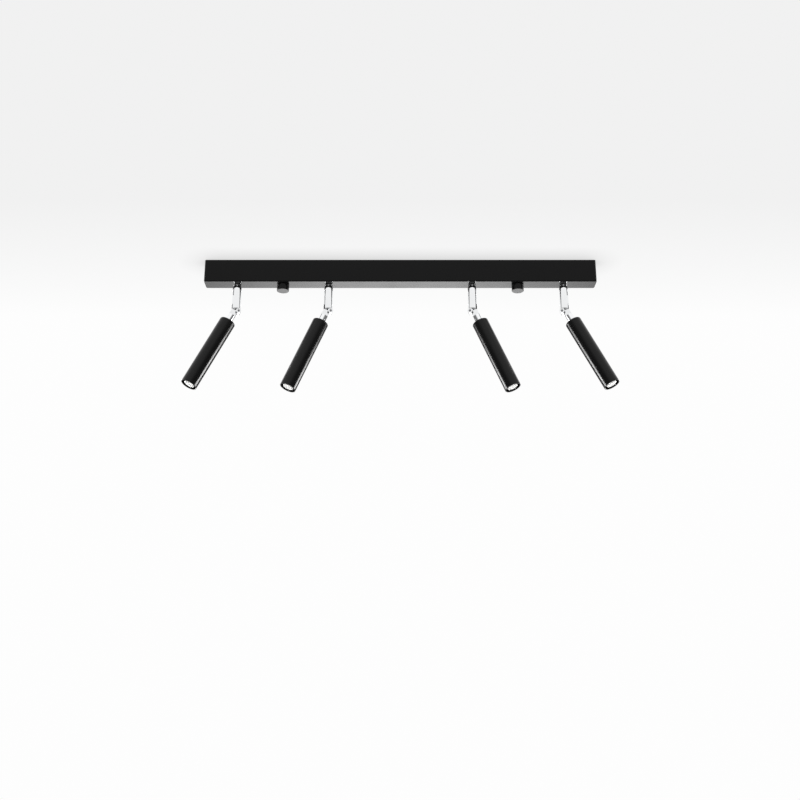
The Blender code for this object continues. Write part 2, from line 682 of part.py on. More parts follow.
def make_lamp(number, fold_axis):
    """Push-in capsule lamp: neck with two contact pins, straight body, flat bright front."""
    neck_top = -HOLDER_END + HOLDER_RECESS - GAP
    body_top = -HOLDER_END - GAP
    front = -TUBE_MOUTH + LAMP_SETBACK
    profile = [(0.0, neck_top), (LAMP_NECK, neck_top), (LAMP_NECK, body_top),
               (LAMP_RADIUS, body_top)]
    profile += arc(
        LAMP_RADIUS - LAMP_FRONT_EDGE, front + LAMP_FRONT_EDGE, LAMP_FRONT_EDGE, 0, -90, 3)
    profile += [(0.0, front)]
    lamp = turned_mesh(f"lamp_{number}", profile, False, ROUND_STEPS, ARM_OFFSET)
    for side in (-1, 1):
        y = side * CONTACT_PITCH
        pin = cylinder(
            f"add_contact_{number}_{side + 2}", CONTACT_RADIUS,
            (ARM_OFFSET, y, neck_top - OVERCUT), (ARM_OFFSET, y, neck_top + CONTACT_LENGTH), 8)
        combine(lamp, pin, "UNION", fold_axis)
    place(lamp, LAMP_WHITE, fold_axis)


# --- Assembly -----------------------------------------------------------------------------
# Each spot: its place along the bar, the way it faces (degrees about +Z) and its fold.
SPOTS = (
    (-OUTER_X, 180 + OUTER_TURN, OUTER_FOLD),
    (-INNER_X, 180 + INNER_TURN, INNER_FOLD),
    (INNER_X, -INNER_TURN, INNER_FOLD),
    (OUTER_X, -OUTER_TURN, OUTER_FOLD),
)
STUDS = (("left", -STUD_X), ("right", STUD_X))

make_bar()
make_strip()
for stud_side, stud_x in STUDS:
    make_stud(stud_side, stud_x)
    make_round_nut(stud_side, stud_x)
make_terminal_block()
make_earth_stud()
make_earth_lead()

for spot_number, (spot_x, facing, fold) in enumerate(SPOTS, 1):
    outer = abs(spot_x) > STUD_X
    make_washer(spot_number, spot_x)
    make_lead(spot_number, spot_x, 1 if outer else -1)
    turn_empty = empty(
        f"turn_{spot_number}", (spot_x, 0.0, -BAR_HEIGHT), (0, 0, math.radians(facing)))
    fold_empty = empty(
        f"fold_{spot_number}", (-PIN_OFFSET, 0.0, PIN_Z), (0, -math.radians(fold), 0),
        turn_empty)
    make_nipple(spot_number, turn_empty)
    make_stem(spot_number, turn_empty)
    make_pin(spot_number, turn_empty)
    make_arm(spot_number, fold_empty)
    make_tube(spot_number, fold_empty)
    make_hanger(spot_number, fold_empty)
    make_holder(spot_number, fold_empty)
    make_lamp(spot_number, fold_empty)

for part in PARTS.objects:
    if part.type == "MESH":
        shade(part.data)
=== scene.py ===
"""Looks for the ceiling light bar with four tube spots: pieces, finishes, camera and studio."""

import json
import math

import bmesh
import bpy
from mathutils import Matrix, Vector


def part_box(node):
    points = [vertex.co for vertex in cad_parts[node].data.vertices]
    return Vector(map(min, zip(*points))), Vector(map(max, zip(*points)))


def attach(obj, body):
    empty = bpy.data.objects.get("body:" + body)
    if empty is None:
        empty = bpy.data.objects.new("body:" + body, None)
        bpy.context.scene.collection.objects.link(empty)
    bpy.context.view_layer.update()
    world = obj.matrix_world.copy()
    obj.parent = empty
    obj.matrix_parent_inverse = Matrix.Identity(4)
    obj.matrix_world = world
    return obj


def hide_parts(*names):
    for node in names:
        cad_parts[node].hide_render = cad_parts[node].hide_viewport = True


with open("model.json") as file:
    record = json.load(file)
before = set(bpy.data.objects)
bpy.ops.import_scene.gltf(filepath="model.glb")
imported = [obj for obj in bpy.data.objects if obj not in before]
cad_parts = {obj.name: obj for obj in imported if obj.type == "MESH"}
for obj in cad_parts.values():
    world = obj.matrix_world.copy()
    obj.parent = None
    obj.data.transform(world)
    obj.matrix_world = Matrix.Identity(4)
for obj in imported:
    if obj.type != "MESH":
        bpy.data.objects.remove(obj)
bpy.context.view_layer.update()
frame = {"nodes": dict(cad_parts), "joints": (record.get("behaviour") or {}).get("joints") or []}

# --- Canopy bar ----------
# Folded channel of 1 mm sheet steel, 600 mm long and open at the ceiling, with rounded upright
# corners and softly folded lower edges. Its holes are punched, and it is powder-coated in
# satin black. Two studs carry it.
BAR_WALL = 0.0010
BAR_CORNER = 0.0030
BAR_FOLD = 0.0015
SHEET_RIM = 0.00012
STEM_HOLE = 0.0053
STUD_HOLE = 0.0025
SPOTS = (1, 2, 3, 4)
SAME_POINT = 0.000001
SMOOTH_UP_TO = 38
RUBBED_COAT = (0.045, 0.045, 0.047, 1)
COAT_DUST = (0.30, 0.29, 0.27, 1)

joints = {joint["name"]: joint for joint in frame["joints"]}
bar_low, bar_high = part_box("canopy_bar")
bar_floor = bar_low.z + BAR_WALL


def stud_x(side):
    """Where the left or right stud and its round nut stand along the bar."""
    return joints[f"round_nut_{side}_turn"]["pos_m"][0]


def only(piece):
    """Select this piece and nothing else."""
    bpy.ops.object.select_all(action="DESELECT")
    piece.select_set(True)
    bpy.context.view_layer.objects.active = piece


def take_new(name):
    """Name the piece that was just added, and put its place into its mesh."""
    piece = bpy.context.object
    piece.name = name
    bpy.ops.object.transform_apply()
    return piece


def block(name, low, high):
    """A square block between two corners, to start a piece or a cutting tool from."""
    low, high = Vector(low), Vector(high)
    bpy.ops.object.select_all(action="DESELECT")
    bpy.ops.mesh.primitive_cube_add(size=1, location=(low + high) / 2, scale=high - low)
    return take_new(name)


def rod(name, radius, start, end, sides=64):
    """A round rod between two points, to start a piece or a cutting tool from."""
    start, end = Vector(start), Vector(end)
    bpy.ops.object.select_all(action="DESELECT")
    bpy.ops.mesh.primitive_cylinder_add(
        vertices=sides, radius=radius, depth=(end - start).length, location=(start + end) / 2,
        rotation=(end - start).to_track_quat("Z", "Y").to_euler())
    return take_new(name)


def pick(piece, kind, chosen):
    """Go into edit mode with just the edges or faces selected that a test picks out."""
    only(piece)
    bpy.ops.object.mode_set(mode="EDIT")
    bpy.ops.mesh.select_mode(type=kind)
    bpy.ops.mesh.select_all(action="DESELECT")
    mesh = bmesh.from_edit_mesh(piece.data)
    for part in mesh.edges if kind == "EDGE" else mesh.faces:
        if chosen(part):
            part.select_set(True)
    bmesh.update_edit_mesh(piece.data)


def done():
    bpy.ops.object.mode_set(mode="OBJECT")


def work(piece, tool, operation="DIFFERENCE"):
    """Cut a tool out of a piece, or weld it on; the tool is used up."""
    only(piece)
    step = piece.modifiers.new("work", "BOOLEAN")
    step.operation = operation
    step.object = tool
    step.solver = "EXACT"
    bpy.ops.object.modifier_apply(modifier=step.name)
    bpy.data.objects.remove(tool)


def break_edges(piece, width, segments=2, angle=50):
    """Take the sharpness off a piece's edges."""
    only(piece)
    step = piece.modifiers.new("edges", "BEVEL")
    step.width = width
    step.segments = segments
    step.limit_method = "ANGLE"
    step.angle_limit = math.radians(angle)
    step.use_clamp_overlap = True
    bpy.ops.object.modifier_apply(modifier=step.name)


def keep_own_place(piece):
    """Store each point's place in the piece's own frame, for patterns that follow its axis."""
    own = piece.data.attributes.new("own_place", "FLOAT_VECTOR", "POINT")
    own.data.foreach_set("vector", [number for v in piece.data.vertices for number in v.co])


def fit(piece, finish, slot, body, *nodes):
    """Clean and smooth a finished piece, give it its finish, and fix it to its body."""
    only(piece)
    bpy.ops.object.mode_set(mode="EDIT")
    bpy.ops.mesh.select_all(action="SELECT")
    bpy.ops.mesh.remove_doubles(threshold=SAME_POINT)
    bpy.ops.mesh.dissolve_degenerate(threshold=SAME_POINT)
    done()
    bpy.ops.object.shade_smooth_by_angle(angle=math.radians(SMOOTH_UP_TO))
    level = piece.modifiers.new("level", "WEIGHTED_NORMAL")
    level.keep_sharp = True
    bpy.ops.object.modifier_apply(modifier=level.name)
    piece.data.materials.clear()
    piece.data.materials.append(finish)
    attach(piece, body)
    if nodes:
        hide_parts(*nodes)


def put(tree, kind, values=None, **settings):
    """Add a shader node; a value is a number, a colour or the socket that feeds it."""
    made = tree.nodes.new("ShaderNode" + kind)
    for name, value in settings.items():
        setattr(made, name, value)
    for name, value in (values or {}).items():
        if isinstance(value, bpy.types.NodeSocket):
            tree.links.new(value, made.inputs[name])
        else:
            made.inputs[name].default_value = value
    return made


def calc(tree, operation, first, second=0.0, clamp=False):
    return put(tree, "Math", {0: first, 1: second}, operation=operation,
               use_clamp=clamp).outputs[0]


def noise(tree, vector, scale, detail=3.0, roughness=0.5):
    return put(tree, "TexNoise", {"Vector": vector, "Scale": scale, "Detail": detail,
                                  "Roughness": roughness}).outputs[0]


def span(tree, value, low, high, to_low=0.0, to_high=1.0):
    """Read a value from one range into another."""
    return put(tree, "MapRange", {0: value, 1: low, 2: high, 3: to_low, 4: to_high}).outputs[0]


def tint(tree, mask, first, second):
    """Go from one colour to another by a mask."""
    return put(tree, "Mix", {0: mask, 6: first, 7: second}, data_type="RGBA").outputs[2]


def stretched(tree, vector, scale):
    return put(tree, "Mapping", {"Vector": vector, "Scale": scale}).outputs[0]


def effect(name, inputs, outputs):
    """An empty node group with named inputs (name, kind, value) and number outputs."""
    group = bpy.data.node_groups.new(name, "ShaderNodeTree")
    for label, kind, value in inputs:
        socket = group.interface.new_socket(label, in_out="INPUT", socket_type=kind)
        if value is not None:
            socket.default_value = value
    for label in outputs:
        group.interface.new_socket(label, in_out="OUTPUT", socket_type="NodeSocketFloat")
    given = group.nodes.new("NodeGroupInput").outputs
    return group, given, group.nodes.new("NodeGroupOutput").inputs


NUMBER, VECTOR = "NodeSocketFloat", "NodeSocketVector"

# Powder coat: fine peel in the height, with slow changes in tone.
coat_peel, given, out = effect(
    "coat_peel", (("Place", VECTOR, None), ("Scale", NUMBER, 900.0)), ("Height", "Tone"))
fine = noise(coat_peel, given["Place"], given["Scale"], 2.0, 0.45)
wide = noise(coat_peel, given["Place"], calc(coat_peel, "DIVIDE", given["Scale"], 5.0), 2.0)
slow = noise(coat_peel, given["Place"], calc(coat_peel, "DIVIDE", given["Scale"], 40.0), 4.0, 0.6)
coat_peel.links.new(calc(coat_peel, "ADD", calc(coat_peel, "MULTIPLY", fine, 0.4), wide),
                    out["Height"])
coat_peel.links.new(slow, out["Tone"])

# Edge wear: where the surface turns sharply, broken up by noise.
edge_wear, given, out = effect(
    "edge_wear", (("Place", VECTOR, None), ("Width", NUMBER, 0.0005), ("Scale", NUMBER, 160.0)),
    ("Mask",))
rounded = put(edge_wear, "Bevel", {"Radius": given["Width"]}, samples=4).outputs[0]
straight = put(edge_wear, "NewGeometry").outputs["Normal"]
turn = put(edge_wear, "VectorMath", {0: rounded, 1: straight}, operation="DOT_PRODUCT").outputs[1]
near = span(edge_wear, turn, 0.995, 0.90)
broken = span(edge_wear, noise(edge_wear, given["Place"], given["Scale"], 5.0, 0.7), 0.36, 0.64)
edge_wear.links.new(calc(edge_wear, "MULTIPLY", near, broken, True), out["Mask"])

# Hand marks: smudges from fitting and turning, and fine scratches in two directions.
hand_marks, given, out = effect(
    "hand_marks", (("Place", VECTOR, None), ("Scale", NUMBER, 30.0)), ("Smudge", "Scratch"))
cloud = noise(hand_marks, given["Place"], given["Scale"], 5.0, 0.65)
hand_marks.links.new(span(hand_marks, cloud, 0.42, 0.70), out["Smudge"])
scratches = 0.0
for scale in ((2600.0, 50.0, 90.0), (70.0, 1900.0, 60.0)):
    line = noise(hand_marks, stretched(hand_marks, given["Place"], scale), 1.0, 1.0)
    scratches = calc(hand_marks, "ADD", scratches, span(hand_marks, line, 0.70, 0.78), True)
patch = span(hand_marks, noise(hand_marks, given["Place"], 55.0, 2.0), 0.45, 0.62)
hand_marks.links.new(calc(hand_marks, "MULTIPLY", scratches, patch), out["Scratch"])

# Settled dust: on what faces the ceiling, in specks and a thin film.
settled_dust, given, out = effect("settled_dust", (("Place", VECTOR, None),), ("Mask",))
facing = put(settled_dust, "SeparateXYZ", {0: put(settled_dust, "TexCoord").outputs["Normal"]})
upward = span(settled_dust, facing.outputs[2], 0.15, 0.95)
specks = span(settled_dust, noise(settled_dust, given["Place"], 2200.0, 1.0), 0.66, 0.74)
film = span(settled_dust, noise(settled_dust, given["Place"], 120.0, 5.0, 0.7), 0.35, 0.75)
settled_dust.links.new(calc(settled_dust, "ADD", calc(settled_dust, "MULTIPLY", upward, film),
                            calc(settled_dust, "MULTIPLY", specks, 0.12), True), out["Mask"])


def object_place(tree):
    return put(tree, "TexCoord").outputs["Object"]


def layer(tree, group, place, **values):
    """Put an effect group into a material with its own values, and give its outputs."""
    values = {label.title(): value for label, value in values.items()}
    return put(tree, "Group", {"Place": place, **values}, node_tree=group).outputs


def cover(tree, mask, amount, below, above):
    """Lay a colour over another, by a mask at part of its strength."""
    return tint(tree, calc(tree, "MULTIPLY", mask, amount), below, above)


def new_finish(name, **sockets):
    """A material whose shader has these values, given as its sockets' names in lower case."""
    finish = bpy.data.materials.new(name)
    finish.use_nodes = True
    tree = finish.node_tree
    shader = tree.nodes["Principled BSDF"]
    for label, value in sockets.items():
        shader.inputs[label.replace("_", " ").title().replace("Ior", "IOR")].default_value = value
    return finish, tree, shader


def feed(tree, shader, **sockets):
    for label, source in sockets.items():
        tree.links.new(source, shader.inputs[label.replace("_", " ").title()])


def relief(tree, shader, height, strength, distance):
    """Height to the shader's normal."""
    feed(tree, shader, normal=put(
        tree, "Bump", {"Height": height, "Strength": strength, "Distance": distance}).outputs[0])


def black_coat(name, tone, roughness, peel, wear, shine):
    """Satin black powder coat, a little polished at the edges and marked by hands."""
    finish, tree, shader = new_finish(name, specular_ior_level=shine)
    place = object_place(tree)
    coat = layer(tree, coat_peel, place, scale=peel)
    marks = layer(tree, hand_marks, place)
    dust = layer(tree, settled_dust, place)[0]
    worn = layer(tree, edge_wear, place, width=wear)[0]
    colour = tint(tree, coat["Tone"], (tone * 0.8, tone * 0.8, tone * 0.84, 1),
                  (tone * 1.25, tone * 1.25, tone * 1.28, 1))
    colour = cover(tree, worn, 0.5, colour, RUBBED_COAT)
    colour = cover(tree, dust, 0.10, colour, COAT_DUST)
    gloss = span(tree, coat["Tone"], 0.3, 0.7, roughness - 0.03, roughness + 0.03)
    gloss = calc(tree, "ADD", gloss, calc(tree, "MULTIPLY", marks["Smudge"], 0.04))
    gloss = calc(tree, "SUBTRACT", gloss, calc(tree, "MULTIPLY", worn, 0.08), True)
    feed(tree, shader, base_color=colour, roughness=gloss)
    height = calc(tree, "SUBTRACT", coat["Height"],
                  calc(tree, "MULTIPLY", marks["Scratch"], 0.5))
    relief(tree, shader, height, 0.12, 0.00003)
    return finish


bar_coat = black_coat("bar_satin_black", 0.0055, 0.20, 1300.0, 0.0006, 0.13)

bar = block("black_bar", bar_low, bar_high)
pick(bar, "EDGE", lambda edge: abs(edge.verts[0].co.z - edge.verts[1].co.z) > BAR_WALL)
bpy.ops.mesh.bevel(offset=BAR_CORNER, segments=10, affect="EDGES")
done()
pick(bar, "EDGE", lambda edge: max(v.co.z for v in edge.verts) < bar_low.z + BAR_WALL / 2)
bpy.ops.mesh.bevel(offset=BAR_FOLD, segments=5, affect="EDGES")
done()
pick(bar, "FACE", lambda face: face.normal.z > 0.9)
bpy.ops.mesh.delete(type="ONLY_FACE")
done()
sheet_steel = bar.modifiers.new("sheet_steel", "SOLIDIFY")
sheet_steel.thickness = BAR_WALL
sheet_steel.offset = -1.0
sheet_steel.use_even_offset = True
only(bar)
bpy.ops.object.modifier_apply(modifier="sheet_steel")
punched = [(joints[f"turn_{number}"]["pos_m"][0], STEM_HOLE) for number in SPOTS]
punched += [(stud_x(side), STUD_HOLE) for side in ("left", "right")]
for x, radius in punched:
    work(bar, rod("punch", radius, (x, 0, bar_low.z - BAR_WALL), (x, 0, bar_floor + BAR_WALL)))
break_edges(bar, SHEET_RIM)
fit(bar, bar_coat, "black_paint", "root", "canopy_bar")

# --- Ceiling strip ----------
# Flat zinc-plated strip, 1.5 mm thick, that is screwed to the ceiling through its two slots.
# The larger round hole lets the ceiling's cable through, and the studs are locked in the two
# small ones.
SLOT_LENGTH = 0.016
SLOT_RADIUS = 0.0026
SLOT_INSET = 0.040
CABLE_HOLE_X = 0.034
CABLE_HOLE = 0.006
STRIP_STUD_HOLE = 0.0023
STRIP_EDGE = 0.0002
RUBBED_ZINC = (0.85, 0.85, 0.84, 1)
ZINC_DUST = (0.45, 0.43, 0.40, 1)

strip_low, strip_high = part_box("ceiling_strip")


def zinc_plate(name, tone, roughness, spangle):
    """Zinc plating: cloudy grey grains, fine scratches, duller and lighter where it is rubbed."""
    finish, tree, shader = new_finish(name, metallic=1.0)
    place = object_place(tree)
    marks = layer(tree, hand_marks, place, scale=60.0)
    worn = layer(tree, edge_wear, place, width=0.0003)[0]
    dust = layer(tree, settled_dust, place)[0]
    grains = put(tree, "TexVoronoi", {"Vector": place, "Scale": spangle})
    shade = put(tree, "SeparateColor", {0: grains.outputs["Color"]}).outputs[0]
    shade = calc(tree, "MULTIPLY", calc(tree, "ADD", shade, noise(tree, place, 90.0, 5.0)), 0.5)
    red, green, blue = tone
    colour = tint(tree, shade, (red * 0.78, green * 0.78, blue * 0.80, 1),
                  (red * 1.15, green * 1.15, blue * 1.15, 1))
    colour = cover(tree, worn, 0.6, colour, RUBBED_ZINC)
    colour = cover(tree, dust, 0.25, colour, ZINC_DUST)
    gloss = span(tree, shade, 0.2, 0.8, roughness - 0.08, roughness + 0.08)
    gloss = calc(tree, "ADD", gloss, calc(tree, "MULTIPLY", marks["Smudge"], 0.08))
    gloss = calc(tree, "ADD", gloss, calc(tree, "MULTIPLY", dust, 0.2), True)
    feed(tree, shader, base_color=colour, roughness=gloss)
    height = calc(tree, "SUBTRACT", calc(tree, "MULTIPLY", shade, 0.3), marks["Scratch"])
    relief(tree, shader, height, 0.3, 0.00003)
    return finish


strip_zinc = zinc_plate("strip_zinc", (0.60, 0.61, 0.62), 0.36, 260.0)
fastener_zinc = zinc_plate("fastener_zinc", (0.66, 0.66, 0.65), 0.30, 900.0)

strip = block("zinc_strip", strip_low, strip_high)
right_stud = stud_x("right")
above, below = strip_high.z + BAR_WALL, strip_low.z - BAR_WALL
for side in (-1, 1):
    slot_tool = rod("slot_punch", SLOT_RADIUS, (0, 0, below), (0, 0, above), 32)
    for end in (-1, 1):
        pick(slot_tool, "FACE", lambda face: False)
        mesh = bmesh.from_edit_mesh(slot_tool.data)
        bpy.ops.mesh.select_mode(type="VERT")
        for vertex in mesh.verts:
            vertex.select_set(vertex.co.x * end > SLOT_RADIUS / 100)
        bmesh.update_edit_mesh(slot_tool.data)
        bpy.ops.transform.translate(value=(end * (SLOT_LENGTH / 2 - SLOT_RADIUS), 0, 0))
        done()
    slot_tool.location.x = side * (right_stud - SLOT_INSET)
    work(strip, slot_tool)
    x = side * right_stud
    work(strip, rod("stud_punch", STRIP_STUD_HOLE, (x, 0, below), (x, 0, above), 32))
work(strip, rod("cable_punch", CABLE_HOLE, (CABLE_HOLE_X, 0, below), (CABLE_HOLE_X, 0, above)))
break_edges(strip, STRIP_EDGE)
fit(strip, strip_zinc, "zinc_strip", "root", "ceiling_strip")

# --- Studs and their nuts ----------
# Zinc-plated M4 studs, locked in the strip with a hex nut, come down through the bar's floor.
STUD_RADIUS = 0.0020
STUD_PITCH = 0.0007
STUD_NUT_FLATS = 0.0070
THREAD_GAP = 0.0001
HOLD = 0.0003


def softened(corners, steps=4):
    """Outline of a turned piece from its corners, each (radius, height, rounding).

    A point just before and after each rounding keeps the straights beside it straight."""
    outline = []
    for i, (radius, height, rounding) in enumerate(corners):
        here = Vector((radius, height))
        if not rounding:
            outline.append((radius, height))
            continue
        before = (Vector(corners[i - 1][:2]) - here).normalized() * rounding
        after = (Vector(corners[(i + 1) % len(corners)][:2]) - here).normalized() * rounding
        hold = 1 + min(0.5, HOLD / rounding)
        outline.append(tuple(here + before * hold))
        for k in range(steps + 1):
            t = k / steps
            outline.append(tuple(here + before * (1 - t) ** 2 + after * t ** 2))
        outline.append(tuple(here + after * hold))
    return outline


def turned(name, outline, sides=64, bored=False):
    """Turn a piece about the Z axis: a circle is drawn out ring by ring along its outline."""
    radius, height = outline[0]
    bpy.ops.object.select_all(action="DESELECT")
    bpy.ops.mesh.primitive_circle_add(
        vertices=sides, radius=radius, location=(0, 0, height),
        fill_type="NOTHING" if bored else "NGON")
    piece = bpy.context.object
    bpy.ops.object.mode_set(mode="EDIT")
    bpy.ops.mesh.select_all(action="SELECT")
    rings = outline[1:] + outline[:1] if bored else outline[1:]
    for wanted, level in rings:
        bpy.ops.mesh.extrude_region_move(
            TRANSFORM_OT_translate={"value": (0, 0, level - height)})
        if wanted != radius:
            grow = wanted / radius
            bpy.ops.transform.resize(value=(grow, grow, 1), center_override=(0, 0, level))
        radius, height = wanted, level
    bpy.ops.mesh.select_all(action="SELECT")
    bpy.ops.mesh.remove_doubles(threshold=SAME_POINT)
    bpy.ops.mesh.normals_make_consistent(inside=False)
    done()
    return take_new(name)


def threaded(top, end, radius, pitch):
    """Outline of a thread from one height down to another, with chamfered ends."""
    core = radius - 0.55 * pitch
    outline = [(core, top), (radius, top - pitch / 2)]
    turns = round((top - end) / pitch) - 1
    step = (top - end - pitch) / turns
    for i in range(turns):
        level = top - pitch / 2 - i * step
        outline += [(radius, level - step * 0.12), (core, level - step * 0.44),
                    (core, level - step * 0.56), (radius, level - step * 0.88),
                    (radius, level - step)]
    return outline + [(core, end)]


def hex_nut(name, flats, top, height, hole):
    """Hexagon nut on the Z axis, with turned chamfers on both faces and at its hole."""
    corner = flats / math.sqrt(3)
    drop = (corner - flats / 2) * 0.6
    nut = rod(name, corner, (0, 0, top - height), (0, 0, top), 6)
    only(nut)
    nut.rotation_euler.z = math.radians(30)
    bpy.ops.object.transform_apply()
    cone = turned("chamfer", [(flats * 0.48, top), (corner * 1.02, top - drop),
                              (corner * 1.02, top - height + drop),
                              (flats * 0.48, top - height)], 64)
    work(nut, cone, "INTERSECT")
    sink = hole * 0.12
    bore = turned("bore", [(hole + sink * 2, top + sink), (hole, top - sink),
                           (hole, top - height + sink),
                           (hole + sink * 2, top - height - sink)], 48)
    work(nut, bore)
    return nut


def discard(*models):
    """Take away models once their copies are in place."""
    for model in models:
        bpy.data.objects.remove(model)


def placed(model, name, place):
    """Copy a model, with its own mesh, to its place on the light."""
    only(model)
    bpy.ops.object.duplicate()
    piece = bpy.context.object
    piece.matrix_world = place @ piece.matrix_world
    return take_new(name)


def fasten(model, name, place, body, *nodes):
    """Put a copy of a zinc-plated fastener at its place, fixed to its body."""
    fit(placed(model, name, place), fastener_zinc, "zinc_fastener", body, *nodes)


stud_low, stud_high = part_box("stud_left")
nut_low, nut_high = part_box("stud_nut_left")
stud_model = turned("stud_model", threaded(stud_high.z, stud_low.z, STUD_RADIUS, STUD_PITCH), 24)
stud_nut_model = hex_nut("stud_nut_model", STUD_NUT_FLATS, nut_high.z,
                         nut_high.z - nut_low.z, STUD_RADIUS + THREAD_GAP)
for side in ("left", "right"):
    place = Matrix.Translation((stud_x(side), 0, 0))
    fasten(stud_model, f"threaded_stud_{side}", place, "root", f"stud_{side}")
    fasten(stud_nut_model, f"hex_stud_nut_{side}", place, "root", f"stud_nut_{side}")
discard(stud_model, stud_nut_model)

# --- Round nuts ----------
# Blind round nuts, turned from steel and coated black like the bar. They are screwed on the
# studs by hand and press the bar up against the ceiling.
ROUND_NUT_RADIUS = 0.00925
ROUND_NUT_BORE = 0.0023
ROUND_NUT_DEPTH = 0.0067
ROUND_NUT_EDGE = 0.0004
ROUND_NUT_FACE = 0.0050
NEAR_AXIS = 0.0006

nut_low, nut_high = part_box("round_nut_left")
nut_coat = black_coat("nut_satin_black", 0.004, 0.22, 1400.0, 0.0004, 0.17)
bore_end = nut_high.z - ROUND_NUT_DEPTH
round_nut_model = turned("round_nut_model", softened([
    (NEAR_AXIS, bore_end, 0), (ROUND_NUT_BORE, bore_end, 0),
    (ROUND_NUT_BORE, nut_high.z - ROUND_NUT_EDGE, 0),
    (ROUND_NUT_BORE + ROUND_NUT_EDGE, nut_high.z, 0),
    (ROUND_NUT_RADIUS, nut_high.z, ROUND_NUT_EDGE), (ROUND_NUT_RADIUS, nut_low.z, 0.0006),
    (ROUND_NUT_FACE, nut_low.z, 0), (NEAR_AXIS, nut_low.z, 0)]), 128)
for side in ("left", "right"):
    place = Matrix.Translation((stud_x(side), 0, 0))
    fit(placed(round_nut_model, f"black_round_nut_{side}", place), nut_coat, "black_nut",
        f"round_nut_{side}_body", f"round_nut_{side}")
discard(round_nut_model)

# --- Terminal block ----------
# Moulded white nylon block with three poles. Each pole is a brass tube with two slotted clamp
# screws, which stand in round towers.
POLE_PITCH = 0.0070
POLE_BORE = 0.0020
POLE_RADIUS = 0.00195
POLE_HOLE = 0.0015
POLE_REACH = 0.88
TOWER_RADIUS = 0.0029
TOWER_HEIGHT = 0.0036
WELL_RADIUS = 0.0017
GROOVE_HALF = 0.0003
GROOVE_DEPTH = 0.0022
BLOCK_EDGE = 0.0002
POLE_LEVEL = 0.42
SCREW_RADIUS, SCREW_HEAD = 0.0014, 0.00155
SCREW_SUNK = 0.0010
DUST = (0.46, 0.43, 0.38, 1)
NYLON_DARK, NYLON_LIGHT = (0.70, 0.68, 0.62, 1), (0.82, 0.81, 0.77, 1)
RUBBED_NYLON = (0.90, 0.90, 0.88, 1)
BRASS_BRIGHT, BRASS_TARNISHED = (0.78, 0.58, 0.27, 1), (0.46, 0.32, 0.15, 1)
RUBBED_BRASS = (0.92, 0.76, 0.44, 1)

block_low, block_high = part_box("terminal_block")
pole_z = block_low.z + POLE_LEVEL * (block_high.z - block_low.z)
body_top = block_high.z - TOWER_HEIGHT

nylon, tree, shader = new_finish("white_nylon", subsurface_weight=0.15, specular_ior_level=0.4)
shader.inputs["Subsurface Scale"].default_value = 0.002
place = object_place(tree)
marks = layer(tree, hand_marks, place, scale=140.0)
dust = layer(tree, settled_dust, place)[0]
worn = layer(tree, edge_wear, place, width=0.0003)[0]
colour = tint(tree, noise(tree, place, 220.0, 4.0), NYLON_DARK, NYLON_LIGHT)
colour = cover(tree, worn, 0.35, colour, RUBBED_NYLON)
colour = cover(tree, dust, 0.35, colour, DUST)
feed(tree, shader, base_color=colour,
     roughness=span(tree, marks["Smudge"], 0.0, 1.0, 0.38, 0.52))
relief(tree, shader, noise(tree, place, 3500.0, 2.0), 0.2, 0.00004)

brass, tree, shader = new_finish("clamp_brass", metallic=1.0)
place = object_place(tree)
marks = layer(tree, hand_marks, place, scale=150.0)
worn = layer(tree, edge_wear, place, width=0.0003)[0]
tarnish = span(tree, noise(tree, place, 240.0, 5.0, 0.65), 0.35, 0.7)
colour = tint(tree, tarnish, BRASS_BRIGHT, BRASS_TARNISHED)
colour = cover(tree, worn, 0.7, colour, RUBBED_BRASS)
feed(tree, shader, base_color=colour, roughness=span(tree, tarnish, 0.0, 1.0, 0.22, 0.46))
relief(tree, shader, marks["Scratch"], 0.3, 0.00003)

nylon_block = block("nylon_block", block_low, (block_high.x, block_high.y, body_top))
poles = [(x, pole * POLE_PITCH) for pole in (-1, 0, 1) for x in (block_low.x / 2, block_high.x / 2)]
for x, y in poles:
    work(nylon_block, rod("tower", TOWER_RADIUS, (x, y, body_top - 0.001), (x, y, block_high.z),
                          32), "UNION")
for pole in (-1, 0, 1):
    y = pole * POLE_PITCH
    work(nylon_block, rod("pole_bore", POLE_BORE, (block_low.x * 1.2, y, pole_z),
                          (block_high.x * 1.2, y, pole_z), 32))
for x, y in poles:
    work(nylon_block, rod("well", WELL_RADIUS, (x, y, pole_z), (x, y, block_high.z + 0.001), 32))
for groove in (-0.5, 0.5):
    y = groove * POLE_PITCH
    work(nylon_block, block("groove", (block_low.x * 1.2, y - GROOVE_HALF, body_top - GROOVE_DEPTH),
                            (block_high.x * 1.2, y + GROOVE_HALF, body_top + 0.001)))
break_edges(nylon_block, BLOCK_EDGE)
fit(nylon_block, nylon, "white_nylon", "root", "terminal_block")

pole_start, pole_end = block_low.x * POLE_REACH, block_high.x * POLE_REACH
pole_model = turned("pole_model", softened([
    (POLE_HOLE, pole_start, 0.0001), (POLE_RADIUS, pole_start, 0.0001),
    (POLE_RADIUS, pole_end, 0.0001), (POLE_HOLE, pole_end, 0.0001)]), 32, True)
screw_model = turned("screw_model", softened([
    (0.0010, pole_z + 0.0012, 0), (SCREW_RADIUS, pole_z + 0.0016, 0),
    (SCREW_HEAD, block_high.z - SCREW_SUNK, 0.0003),
    (NEAR_AXIS, block_high.z - SCREW_SUNK + 0.0001, 0)]), 32)
work(screw_model, block("screw_slot", (-0.002, -0.0002, block_high.z - 0.0017),
                        (0.002, 0.0002, block_high.z)))
for pole in (-1, 0, 1):
    level = Matrix.Translation((0, pole * POLE_PITCH, pole_z)) @ Matrix.Rotation(
        math.radians(90), 4, "Y")
    fit(placed(pole_model, f"brass_pole_{pole + 2}", level), brass, "brass", "root")
